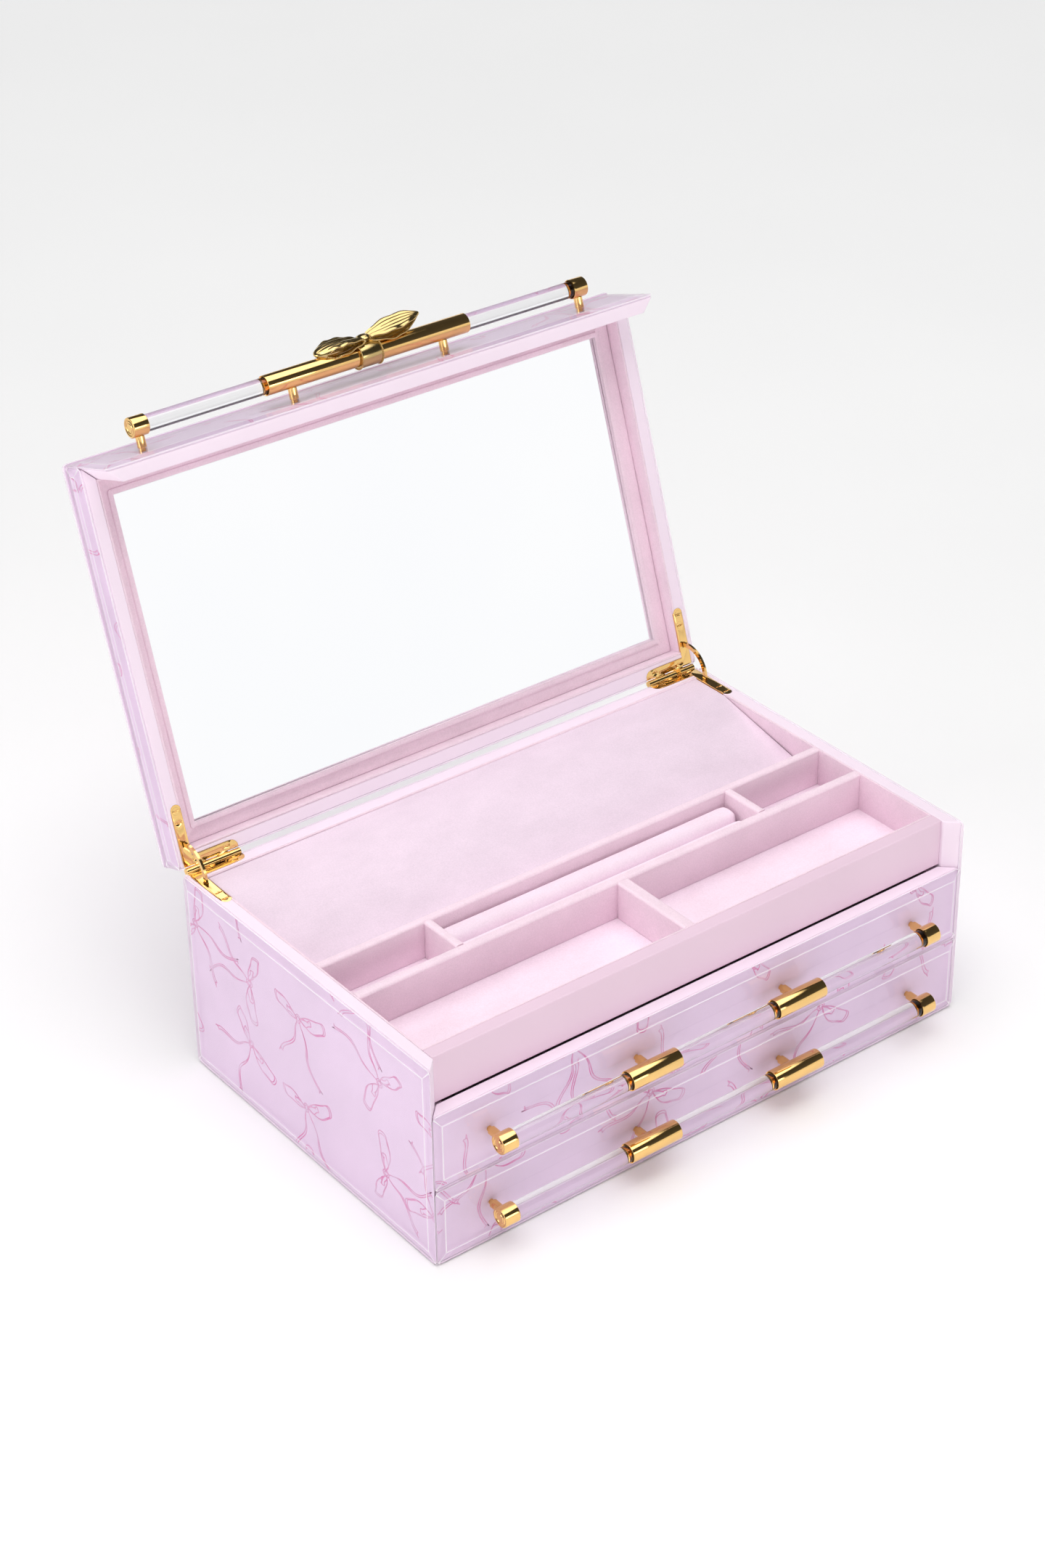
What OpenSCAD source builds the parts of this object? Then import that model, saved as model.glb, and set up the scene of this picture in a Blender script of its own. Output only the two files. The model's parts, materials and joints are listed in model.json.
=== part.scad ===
// Glass-faced jewellery box: mirrored lid on quadrant hinges, a compartment tray and two drawers.
// Frame: +X to the right, -Y to the front, +Z up, origin at the middle of the underside.
// The box is drawn with its lid open on the hinge stays and both drawers pushed home.

/* [Case] */
// Outside width of the box
case_w = 350; // [300:1:420]
// Outside depth of the box
case_d = 217; // [180:1:260]
// Height of the glass band on each drawer
band_h = 44.2; // [36:0.1:60]
// Gap between the fronts of the two drawers
band_gap = 0.8; // [0.5:0.1:3]
// Gap under the lower drawer's front
foot_gap = 1; // [0.9:0.1:2]
// Thickness of a wall board
board_t = 6.6; // [6:0.1:9]
// Thickness of the floor, shelf and tray boards
shelf_t = 4; // [3:0.1:6]
// Thickness of the felt under the box
felt_t = 0.8; // [0.5:0.1:0.8]

/* [Glass] */
// Thickness of a glass pane
pane_t = 2.2; // [1.8:0.1:3]
// Width of the ground bevel round a pane
bevel_w = 6; // [3:0.1:7]
// Depth of the bevel at the pane's edge
bevel_h = 0.9; // [0.4:0.1:1.2]
// Corner radius of a pane
pane_r = 2.5; // [1:0.1:4]

/* [Tray] */
// Depth of the tray's compartments below the rim
tray_depth = 22; // [16:0.5:40]
// Thickness of the suede lining
lining_t = 1.2; // [0.8:0.1:2]
// Thickness of the recessed inner front wall
inner_front_t = 7.3; // [5:0.1:9]
// Front to back size of the front compartments
front_row = 52.6; // [35:0.1:60]
// Front to back size of the middle compartments
middle_row = 27.2; // [20:0.1:30]
// Thickness of the divider behind the front compartments
front_divider_t = 5.8; // [4:0.1:8]
// Thickness of the divider in front of the rear compartment
rear_divider_t = 5.2; // [4:0.1:8]
// Thickness of the divider between the two front compartments
cross_divider_t = 7.5; // [4:0.1:9]
// Thickness of the two dividers in the middle row
small_divider_t = 5; // [4:0.1:8]
// Length of the ring roll's compartment
roll_bay = 194; // [120:1:220]
// How far the ring roll stays below the rim
roll_drop = 6; // [3:0.5:10]
// Thickness of the bent panel in the rear compartment
rear_panel_t = 2; // [1.2:0.1:3]
// Depth of the panel's flat part, at the back
rear_panel_flat = 24; // [10:1:50]
// How far the flat part stays below the rim
rear_panel_drop = 0.5; // [0.3:0.1:3]
// Height of the panel's front edge over the compartment's floor
rear_panel_lift = 3.4; // [0.5:0.1:8]

/* [Drawers] */
// Thickness of a drawer's front board
drawer_front_t = 7.4; // [7:0.1:9]
// Thickness of a drawer's sides and back
drawer_side_t = 5; // [4:0.1:7]
// Thickness of a drawer's bottom
drawer_bottom_t = 3; // [2:0.1:4]
// Space over a drawer's sides
drawer_headroom = 3.1; // [2.6:0.1:12]
// Space behind a closed drawer
drawer_back_gap = 8.6; // [2:0.1:60]
// Length of a drawer that stays in the case when it is fully out
drawer_kept = 40; // [25:1:100]
// Clearance between a drawer and the case at each side
drawer_play = 0.8; // [0.4:0.1:1.5]
// Clearance under a drawer
drawer_lift = 0.3; // [0.2:0.05:0.6]

/* [Lid] */
// Thickness of the lid's top board
lid_board_t = 2.4; // [1.6:0.1:6]
// Gap between the closed lid and the box
rim_gap = 0.6; // [0.4:0.1:1]
// Thickness of the front board that hangs from the lid
apron_t = 7.2; // [6:0.1:7.6]
// Gap between the closed lid's front board and the upper drawer
apron_gap = 1; // [0.6:0.1:2]
// Depth of the frame round the mirror below the lid's rim
frame_drop = 9; // [6:0.1:14]
// Thickness of the frame round the mirror
frame_t = 2; // [1.5:0.1:3]
// Width of the frame round the mirror
frame_w = 10.2; // [6:0.1:16]
// Thickness of the mirror
mirror_t = 1.8; // [1.5:0.1:3]
// Angle the lid opens to
lid_open = 108; // [95:1:115]

/* [Hinges] */
// How far the hinge pin stands behind the box's back face
pin_back = 0.6; // [0.4:0.1:1]
// Diameter of a hinge pin
pin_d = 1.6; // [1.2:0.1:2]
// Outside diameter of a hinge knuckle
knuckle_d = 3.8; // [3.2:0.1:4.2]
// Thickness of a hinge leaf
leaf_t = 1.2; // [1:0.1:1.5]
// Width of a leaf's long arm
arm_w = 6; // [5:0.1:6.4]
// Reach of the long arm from the hinge pin
arm_len = 36; // [30:0.5:50]
// Length of a leaf along the back of the box
leaf_len = 33; // [26:0.5:50]
// Reach of the back part of a leaf from the hinge pin
leaf_w = 7.3; // [6.6:0.1:8]
// Distance of a leaf from the box's outside face
leaf_inset = 4; // [3.6:0.1:5]
// Radius of a stay about the hinge pin
stay_r = 14.4; // [13:0.1:14.4]
// Width of a stay across its curve
stay_w = 2.4; // [2:0.1:3]
// Thickness of a stay
stay_t = 1.4; // [1:0.1:1.6]

/* [Handles] */
// Diameter of the clear rods
rod_d = 9; // [7:0.1:10]
// Outside diameter of the caps and sleeves on the rods
fitting_d = 10.8; // [10:0.1:14]
// Distance from a glass face to the middle of its rod
standoff = 11; // [10.6:0.1:18]
// Length of a rod with its caps on
handle_len = 288; // [220:1:290]
// Length of an end cap
cap_len = 9; // [7:0.1:14]
// Length of a short sleeve on a drawer's rod
collar_len = 31.5; // [16:0.5:50]
// Length of the long sleeve on the lid's rod
sleeve_len = 128; // [110:1:160]
// Distance between the two inner posts
post_span = 96; // [70:1:100]
// Diameter of a post
post_d = 4.8; // [3.5:0.1:6]
// Width of the ribbon bow on the lid's handle
bow_w = 62; // [40:1:80]

/* [Hidden] */
$fn = 48;

board_pink = "#F6DDEC";
suede_pink = "#EBC3D3";
glass_tint = "#E6D2E6";
gold = "#D8A94A";
clear_tint = "#F4F1F8";
felt_white = "#F3EEF1";
mirror_tint = "#F2F4FA";

cut = 1;               // how far a cutter runs past the face it cuts
hw = case_w / 2;
hd = case_d / 2;
wall_t = pane_t + board_t;          // glass and board
lined_t = wall_t + lining_t;        // glass, board and suede
front_gap = 0.5;                    // between the case and the fronts before it
carcass_front = pane_t + max(drawer_front_t, apron_t) + front_gap;  // offset of the shelves' front edges
mitre_slack = 0.45;                 // along X, at each end of a moving front
soft_edge = 1.6;                    // radius of a suede-covered edge

// heights
band_pitch = band_h + band_gap;
lower_z = foot_gap;
upper_z = foot_gap + band_pitch;
apron_z = upper_z + band_h + apron_gap;
floor_top = foot_gap + shelf_t;
shelf_top = floor_top + band_pitch;
tray_top = shelf_top + band_pitch;  // top of the tray board
tray_bottom = tray_top - shelf_t;
floor_lining_t = 1;                 // suede on the tray board
tray_floor = tray_top + floor_lining_t;
rim_z = tray_floor + tray_depth;    // where the tray walls and the lid meet
lid_z = rim_z + rim_gap;
frame_z = lid_z + frame_drop;
mirror_z = frame_z + frame_t;
lid_board_z = mirror_z + mirror_t;
lid_board_top = lid_board_z + lid_board_t;
lid_top = lid_board_top + pane_t;
apron_mid = (apron_z + lid_top) / 2;

// tray lines, front to back
front_bay_y = -hd + carcass_front + inner_front_t + lining_t;
front_div_y = front_bay_y + front_row;
middle_y = front_div_y + front_divider_t;
rear_div_y = middle_y + middle_row;
rear_bay_y = rear_div_y + rear_divider_t;
inner_hw = hw - lined_t;
panel_play = 0.4;                   // at each end of the rear panel
roll_gap = 0.3;                     // round the ring roll
roll_rise = 5;                      // height of the ring roll's rounded top

// drawers
drawer_hw = hw - wall_t - drawer_play;
drawer_y0 = -hd + pane_t + drawer_front_t;
drawer_y1 = hd - wall_t - drawer_back_gap;
drawer_h = band_pitch - shelf_t - drawer_lift - drawer_headroom;
back_rise = 2.3;                    // the drawer's back stands this far over its sides
stop_clear = 0.7;                   // between a drawer's sides and the stop over them
stop_gap = 0.2;                     // between the stop and the raised back, fully out
stop_inset = 20;                    // from the walls to the ends of a stop
stop_t = 6;                         // front to back size of a stop
upper_box_z = shelf_top + drawer_lift;
lower_box_z = floor_top + drawer_lift;

// hinge axis
ax_y = hd + pin_back;
ax_z = rim_z + rim_gap / 2;
hinge_play = 0.05;                  // radial, round the pin
knuckle_gap = 0.15;                 // between knuckles along the pin
leaf_clear = 0.1;                   // round a leaf in its recess
knuckle_clear = 0.5;                // round the knuckles in their recess
// the knuckles' recess runs right through the back pane
knuckle_recess = max(pin_back + pane_t + leaf_clear, knuckle_d / 2 + knuckle_clear);
leaf_root = 0.4;                    // overlap of a knuckle's tail with its plate
arm_r = arm_w / 2;
leaf_corner = 4;
leaf_back = 2.3;                    // a leaf's plate starts this far from the pin
stay_play = 0.3;                    // round a stay in its slot
stay_head = 0.7;                    // how far a stay's head stands out at each side
head_turn = 3.5;                    // degrees, length of the head
slot_play = 0.6;                    // round a stay's head in the wood
arm_screws = [arm_len - 10, arm_len - 3.5];
leaf_screws = [7.8, leaf_len - 6.5];
screw_d = 2;
screw_head_d = 4.2;
screw_len = 8;
screw_play = 0.1;                   // round a screw in its leaf
slot_w = 0.6;                       // screw slots
slot_h = 0.35;

// handles
rod_play = 0.05;
cap_wall = 1.6;
bolt_d = 3;
bolt_clear = 0.1;
bolt_head_d = 7;
bolt_head_h = 2.2;
bolt_pocket = 2.4;
bolt_reach = 3;                     // how far a bolt runs into its post
foot_h = 0.9;                       // flared foot of a post
foot_flare = 0.7;
post_end = handle_len / 2 - cap_len / 2;
post_x = [-post_end, -post_span / 2, post_span / 2, post_end];
band_len = 13;
band_wall = 1.3;
lip = 0.3;                          // small chamfer on the gold fittings
flare = 1.4;                        // depth of a sleeve's or cap's flared mouth

// points of an arc from angle a0 to a1
function arc(x, y, r, a0, a1, n = 8) =
  [for (i = [0:n]) let (a = a0 + (a1 - a0) * i / n) [x + r * cos(a), y + r * sin(a)]];

// rectangle with its corners rounded, from [x0, y0] to [x1, y1]
function rounded(x0, y0, x1, y1, r) = concat(
  arc(x1 - r, y1 - r, r, 0, 90), arc(x0 + r, y1 - r, r, 90, 180),
  arc(x0 + r, y0 + r, r, 180, 270), arc(x1 - r, y0 + r, r, 270, 360));

// ---- shared shapes ----

// turns a shape drawn for the front of the box to its back or sides
module at_back() rotate(180) children();
module at_left() rotate(-90) children();
module at_right() rotate(90) children();

// board along X, from offset t0 to t1 behind the outside face, its ends on the 45 degree mitres
module mitred(half_len, half_depth, t0, t1, z0, z1, slack = 0) {
  translate([0, -half_depth, z0])
    linear_extrude(z1 - z0)
      polygon([[-half_len + t0 + slack, t0], [half_len - t0 - slack, t0],
        [half_len - t1 - slack, t1], [-half_len + t1 + slack, t1]]);
}

module front_board(t0, t1, z0, z1, slack = 0) mitred(hw, hd, t0, t1, z0, z1, slack);
module side_board(t0, t1, z0, z1) mitred(hd, hw, t0, t1, z0, z1);

// long wedge that grinds the bevel along a pane's lower or upper edge
module bevel_cut(half_len, half_depth, z, up) {
  translate([-half_len - cut, -half_depth, z])
    rotate([90, 0, 90])
      linear_extrude(2 * (half_len + cut))
        polygon([[-cut, up * bevel_w], [0, up * bevel_w], [bevel_h, 0], [bevel_h, -up * cut],
          [-cut, -up * cut]]);
}

// upright glass pane with bevelled edges and mitred ends
module pane(half_len, half_depth, z0, z1, slack = 0) {
  b = bevel_h;
  difference() {
    intersection() {
      translate([0, -half_depth, z0])
        linear_extrude(z1 - z0)
          polygon([[-half_len + bevel_w, 0], [half_len - bevel_w, 0],
            [half_len - b - slack, b], [half_len - pane_t - slack, pane_t],
            [-half_len + pane_t + slack, pane_t], [-half_len + b + slack, b]]);
      translate([0, -half_depth + pane_t + cut, 0])
        rotate([90, 0, 0])
          linear_extrude(pane_t + 2 * cut)
            polygon(rounded(-half_len + b + slack, z0, half_len - b - slack, z1, pane_r));
    }
    bevel_cut(half_len, half_depth, z0, 1);
    bevel_cut(half_len, half_depth, z1, -1);
  }
}

// box from one corner to the other
module block(a, b) translate(a) cube([b[0] - a[0], b[1] - a[1], b[2] - a[2]]);

// lays out a hinge: u runs inwards from the leaf's outer edge, v forwards from the pin
module at_hinge(side)
  translate([side * (hw - leaf_inset), ax_y, ax_z])
    mirror([side > 0 ? 1 : 0, 0, 0]) mirror([0, 1, 0]) children();

module open_lid()
  translate([0, ax_y, ax_z])
    rotate([-lid_open, 0, 0])
      translate([0, -ax_y, -ax_z]) children();

// ---- hinges ----

function leaf_points(c) = concat(
  [[-c, leaf_back - c], [leaf_len + c, leaf_back - c]],
  arc(leaf_len - leaf_corner, leaf_w - leaf_corner, leaf_corner + c, 0, 90),
  [[arm_w + c, leaf_w + c]],
  arc(arm_r, arm_len - arm_r, arm_r + c, 0, 180, 12));

module screw_places() {
  for (v = arm_screws) translate([arm_r, v, 0]) children();
  for (u = leaf_screws) translate([u, (leaf_back + leaf_w) / 2, 0]) children();
}

// countersink, wide end at z = 0 and narrow end below it
module countersink(c = 0)
  translate([0, 0, -leaf_t])
    cylinder(d1 = screw_d + 2 * c, d2 = screw_head_d + 2 * c, h = leaf_t);

// leaf that lies on the lower side of the hinge plane; count knuckles start at the outer end
module leaf(first) {
  plate_top = -rim_gap / 2;
  pitch = leaf_len / 5;
  difference() {
    union() {
      translate([0, 0, plate_top - leaf_t])
        difference() {
          linear_extrude(leaf_t) polygon(leaf_points(0));
          block([arm_r - stay_t / 2 - stay_play, stay_r - stay_w / 2 - stay_play, -cut],
            [arm_r + stay_t / 2 + stay_play, stay_r + stay_w / 2 + stay_play, leaf_t + cut]);
          screw_places() {
            translate([0, 0, -cut]) cylinder(d = screw_d + 2 * screw_play, h = leaf_t + 2 * cut);
            translate([0, 0, leaf_t]) countersink(screw_play / 2);
          }
        }
      for (k = [first:2:4])
        translate([k * pitch + knuckle_gap / 2, 0, 0]) {
          rotate([0, 90, 0]) cylinder(d = knuckle_d, h = pitch - knuckle_gap);
          block([0, 0, plate_top - leaf_t],
            [pitch - knuckle_gap, leaf_back + leaf_root, plate_top]);
        }
    }
    translate([-cut, 0, 0]) rotate([0, 90, 0])
      cylinder(d = pin_d + 2 * hinge_play, h = leaf_len + 2 * cut);
  }
}

module leaf_screw_set()
  translate([0, 0, -rim_gap / 2])
    screw_places()
      difference() {
        union() {
          countersink();
          translate([0, 0, -screw_len]) cylinder(d = screw_d, h = screw_len - leaf_t / 2);
        }
        block([-screw_head_d, -slot_w / 2, -slot_h], [screw_head_d, slot_w / 2, cut]);
      }

// what one leaf takes out of the boards under it
module leaf_cuts() {
  top = -rim_gap / 2;
  translate([0, 0, top - leaf_t])
    linear_extrude(leaf_t + cut) polygon(leaf_points(leaf_clear));
  block([-2 * leaf_clear, -pin_back - cut, -knuckle_d / 2 - knuckle_clear],
    [leaf_len + 2 * leaf_clear, knuckle_recess, cut]);
  block([arm_r - stay_t / 2 - slot_play, stay_r / 3, -stay_r - stay_w / 2 - stay_head],
    [arm_r + stay_t / 2 + slot_play, stay_r + stay_w / 2 + stay_head + slot_play, cut]);
  screw_places()
    translate([0, 0, top - screw_len - cut]) cylinder(d = screw_d + screw_play, h = screw_len);
}

module base_hinge_cuts() for (side = [-1, 1]) at_hinge(side) leaf_cuts();
module lid_hinge_cuts() for (side = [-1, 1]) at_hinge(side) mirror([0, 0, 1]) leaf_cuts();

// curved stay on the hinge axis, with a head at each end that stops the lid
module stay() {
  plate_turn = asin((rim_gap / 2 + leaf_t) / (stay_r - stay_w / 2)) + 0.4;
  module sector(r, w, a0, a1)
    rotate([0, 90, 0]) translate([0, 0, -stay_t / 2])
      rotate([0, 0, a0]) rotate_extrude(angle = a1 - a0) translate([r - w / 2, 0]) square([w, stay_t]);
  // angles run from the front, up over the pin
  translate([arm_r, 0, 0]) rotate([90, 0, 0]) {
    sector(stay_r, stay_w, -plate_turn - head_turn, lid_open + plate_turn + head_turn);
    sector(stay_r, stay_w + 2 * stay_head, -plate_turn - head_turn, -plate_turn);
    sector(stay_r, stay_w + 2 * stay_head, lid_open + plate_turn, lid_open + plate_turn + head_turn);
  }
}

module left_base_leaf() color(gold) at_hinge(-1) leaf(0);
module right_base_leaf() color(gold) at_hinge(1) leaf(0);
module left_lid_leaf() color(gold) open_lid() at_hinge(-1) mirror([0, 0, 1]) leaf(1);
module right_lid_leaf() color(gold) open_lid() at_hinge(1) mirror([0, 0, 1]) leaf(1);
module left_stay() color(gold) at_hinge(-1) stay();
module right_stay() color(gold) at_hinge(1) stay();

module hinge_pins()
  color(gold)
    for (side = [-1, 1])
      at_hinge(side) rotate([0, 90, 0]) cylinder(d = pin_d, h = leaf_len);

module base_leaf_screws() color(gold) for (side = [-1, 1]) at_hinge(side) leaf_screw_set();
module lid_leaf_screws()
  color(gold) open_lid() for (side = [-1, 1]) at_hinge(side) mirror([0, 0, 1]) leaf_screw_set();

// ---- case ----

module base_felt()
  color(felt_white)
    block([-hw + lined_t / 2, -hd + carcass_front, 0], [hw - lined_t / 2, hd - lined_t / 2, felt_t]);

module case_board(z0, z1)
  block([-hw + wall_t, -hd + carcass_front, z0], [hw - wall_t, hd - wall_t, z1]);

module floor_board() color(board_pink) case_board(felt_t, floor_top);
module drawer_shelf() color(board_pink) case_board(shelf_top - shelf_t, shelf_top);

module tray_board()
  color(board_pink)
    block([-hw + wall_t, -hd + carcass_front + inner_front_t, tray_bottom],
      [hw - wall_t, hd - wall_t, tray_top]);

module left_wall()
  color(board_pink)
    difference() {
      at_left() side_board(pane_t, wall_t, felt_t, rim_z);
      base_hinge_cuts();
    }

module right_wall()
  color(board_pink)
    difference() {
      at_right() side_board(pane_t, wall_t, felt_t, rim_z);
      base_hinge_cuts();
    }

module back_wall()
  color(board_pink)
    difference() {
      at_back() front_board(pane_t, wall_t, felt_t, rim_z);
      base_hinge_cuts();
    }

module inner_front_wall()
  color(board_pink)
    block([-hw + wall_t, -hd + carcass_front, upper_z + band_h + apron_gap / 2],
      [hw - wall_t, -hd + carcass_front + inner_front_t, rim_z]);

module side_panes()
  color(glass_tint)
    difference() {
      union() {
        at_left() pane(hd, hw, foot_gap, rim_z);
        at_right() pane(hd, hw, foot_gap, rim_z);
      }
      base_hinge_cuts();
    }

module back_pane()
  color(glass_tint)
    difference() {
      at_back() pane(hw, hd, foot_gap, rim_z);
      base_hinge_cuts();
    }

// strips that a drawer's raised back runs up to when it is fully out
module drawer_stops() {
  x = hw - wall_t - stop_inset;
  y = drawer_y0 + drawer_kept - drawer_side_t - stop_gap;
  for (z = [[upper_box_z, tray_bottom], [lower_box_z, shelf_top - shelf_t]])
    color(board_pink)
      block([-x, y - stop_t, z[0] + drawer_h + stop_clear], [x, y, z[1]]);
}

// ---- tray ----

module tray_floor_lining()
  color(suede_pink)
    block([-inner_hw, front_bay_y, tray_top], [inner_hw, hd - lined_t, tray_floor]);

module tray_wall_lining()
  color(suede_pink)
    difference() {
      block([-hw + wall_t, front_bay_y - lining_t, tray_top], [hw - wall_t, hd - wall_t, rim_z]);
      block([-inner_hw, front_bay_y, tray_top - cut], [inner_hw, hd - lined_t, rim_z + cut]);
      base_hinge_cuts();
    }

// suede-covered divider with a soft top edge, along X
module divider(x0, x1, y0, y1) {
  r = min(soft_edge, (y1 - y0) / 3);
  translate([x0, 0, 0])
    rotate([90, 0, 90])
      linear_extrude(x1 - x0)
        polygon(concat([[y0, tray_floor], [y1, tray_floor]],
          arc(y1 - r, rim_z - r, r, 0, 90), arc(y0 + r, rim_z - r, r, 90, 180)));
}

// the same along Y
module cross_divider(x, t, y0, y1)
  translate([x, (y0 + y1) / 2, 0]) rotate(90)
    divider(-(y1 - y0) / 2, (y1 - y0) / 2, -t / 2, t / 2);

module front_divider() color(suede_pink) divider(-inner_hw, inner_hw, front_div_y, middle_y);
module rear_divider() color(suede_pink) divider(-inner_hw, inner_hw, rear_div_y, rear_bay_y);

// panel that is flat at the back and slopes down to the rear divider
module rear_panel() {
  back_y = hd - lined_t;
  fold_y = back_y - rear_panel_flat;
  flat_z = rim_z - rear_panel_drop;
  front_z = tray_floor + rear_panel_lift;
  color(suede_pink)
    translate([-inner_hw + panel_play, 0, 0])
      rotate([90, 0, 90])
        linear_extrude(2 * (inner_hw - panel_play))
          polygon([[rear_bay_y, front_z], [fold_y, flat_z - rear_panel_t],
            [back_y, flat_z - rear_panel_t], [back_y, flat_z], [fold_y, flat_z],
            [rear_bay_y, front_z + rear_panel_t]]);
}

module front_cross_divider()
  color(suede_pink) cross_divider(0, cross_divider_t, front_bay_y, front_div_y);
module middle_cross_dividers()
  color(suede_pink)
    for (side = [-1, 1])
      cross_divider(side * (roll_bay + small_divider_t) / 2, small_divider_t, middle_y, rear_div_y);

// padded roll that holds rings
module ring_roll() {
  y0 = middle_y + roll_gap;
  y1 = rear_div_y - roll_gap;
  top = rim_z - roll_drop;
  mid = (y0 + y1) / 2;
  n = 8;
  color(suede_pink)
    translate([-roll_bay / 2 + roll_gap, 0, 0])
      rotate([90, 0, 90])
        linear_extrude(roll_bay - 2 * roll_gap)
          polygon(concat([[y0, tray_floor], [y1, tray_floor]],
            [for (i = [0:n]) let (a = 180 * i / n)
              [mid + (y1 - mid) * cos(a), top - roll_rise + roll_rise * sin(a)]]));
}

// ---- lid, drawn closed ----

module lid_left_rim()
  color(board_pink)
    open_lid()
      difference() {
        at_left() side_board(pane_t, wall_t, lid_z, lid_board_top);
        lid_hinge_cuts();
      }

module lid_right_rim()
  color(board_pink)
    open_lid()
      difference() {
        at_right() side_board(pane_t, wall_t, lid_z, lid_board_top);
        lid_hinge_cuts();
      }

module lid_back_rim()
  color(board_pink)
    open_lid()
      difference() {
        at_back() front_board(pane_t, wall_t, lid_z, lid_board_top);
        lid_hinge_cuts();
      }

module lid_apron()
  color(board_pink)
    open_lid()
      difference() {
        front_board(pane_t, pane_t + apron_t, apron_z, lid_board_top, mitre_slack);
        translate([0, -hd, apron_mid]) bolt_holes(pane_t + apron_t);
      }

module lid_top_board()
  color(board_pink)
    open_lid()
      block([-hw + wall_t, -hd + pane_t + apron_t, lid_board_z],
        [hw - wall_t, hd - wall_t, lid_board_top]);

module lid_lining() {
  front_y = -hd + pane_t + apron_t;
  color(suede_pink)
    open_lid()
      difference() {
        block([-hw + wall_t, front_y, lid_z], [hw - wall_t, hd - wall_t, lid_board_z]);
        block([-inner_hw, front_y + lining_t, lid_z - cut], [inner_hw, hd - lined_t, lid_board_z + cut]);
        lid_hinge_cuts();
      }
}

// flat frame with a raised bead round its opening
module mirror_frame() {
  y0 = -hd + pane_t + apron_t + lining_t;
  y1 = hd - lined_t;
  bead = 3;
  bead_h = 0.9;
  color(suede_pink)
    open_lid()
      difference() {
        union() {
          block([-inner_hw, y0, frame_z], [inner_hw, y1, mirror_z]);
          translate([0, 0, frame_z - bead_h])
            linear_extrude(frame_t)
              polygon(rounded(-inner_hw + frame_w - bead, y0 + frame_w - bead,
                inner_hw - frame_w + bead, y1 - frame_w + bead, 2));
        }
        block([-inner_hw + frame_w, y0 + frame_w, frame_z - cut],
          [inner_hw - frame_w, y1 - frame_w, mirror_z + cut]);
      }
}

module mirror_plate()
  color(mirror_tint)
    open_lid()
      block([-inner_hw, -hd + pane_t + apron_t + lining_t, mirror_z],
        [inner_hw, hd - lined_t, lid_board_z]);

// glass over the whole top of the lid
module lid_top_pane()
  color(glass_tint)
    open_lid()
      difference() {
        translate([0, 0, lid_board_top])
          linear_extrude(pane_t) polygon(rounded(-hw, -hd, hw, hd, pane_r));
        for (q = [[0, hw, hd], [90, hd, hw], [180, hw, hd], [270, hd, hw]])
          rotate(q[0])
            translate([-q[1] - cut, -q[2], lid_top])
              rotate([90, 0, 90])
                linear_extrude(2 * (q[1] + cut))
                  polygon([[-cut, -bevel_h], [0, -bevel_h], [bevel_w, 0], [bevel_w, cut], [-cut, cut]]);
        lid_hinge_cuts();
      }

module lid_side_panes()
  color(glass_tint)
    open_lid()
      difference() {
        union() {
          at_left() pane(hd, hw, lid_z, lid_board_top);
          at_right() pane(hd, hw, lid_z, lid_board_top);
        }
        lid_hinge_cuts();
      }

module lid_back_pane()
  color(glass_tint)
    open_lid()
      difference() {
        at_back() pane(hw, hd, lid_z, lid_board_top);
        lid_hinge_cuts();
      }

module apron_pane()
  color(glass_tint)
    open_lid()
      difference() {
        pane(hw, hd, apron_z, lid_board_top, mitre_slack);
        translate([0, -hd, apron_mid]) bolt_holes(pane_t + apron_t);
      }

// ---- handles, drawn about the middle of a glass face that lies at y = 0 ----

// bolt holes through glass and board, with a pocket for each head inside
module bolt_holes(depth)
  for (x = post_x)
    translate([x, 0, 0]) rotate([-90, 0, 0]) {
      translate([0, 0, -cut]) cylinder(d = bolt_d + 2 * bolt_clear, h = depth + 2 * cut);
      translate([0, 0, depth - bolt_pocket])
        cylinder(d = bolt_head_d + 6 * bolt_clear, h = bolt_pocket + cut);
    }

module on_rod() translate([0, -standoff, 0]) rotate([0, 90, 0]) children();

module rod()
  on_rod() cylinder(d = rod_d, h = handle_len - 2 * cap_wall, center = true);

// sleeve with a flared mouth at both ends
module sleeve(len) {
  ro = fitting_d / 2;
  ri = rod_d / 2 + rod_play;
  on_rod()
    rotate_extrude()
      polygon([[ri, -len / 2 + flare], [ro - lip, -len / 2], [ro, -len / 2 + lip],
        [ro, len / 2 - lip], [ro - lip, len / 2], [ri, len / 2 - flare]]);
}

// end cap: a cup with a ring groove on its closed face
module end_cap(side) {
  ro = fitting_d / 2;
  ri = rod_d / 2 + rod_play;
  groove = [0.62 * ro, 0.66 * ro, 0.74 * ro, 0.78 * ro];
  translate([side * handle_len / 2, 0, 0]) on_rod() mirror([0, 0, side > 0 ? 1 : 0])
    rotate_extrude()
      polygon([[0, 0], [groove[0], 0], [groove[1], lip], [groove[2], lip], [groove[3], 0],
        [ro - lip, 0], [ro, lip], [ro, cap_len - lip], [ro - lip, cap_len],
        [ri, cap_len - flare], [ri, cap_wall], [0, cap_wall]]);
}

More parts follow.
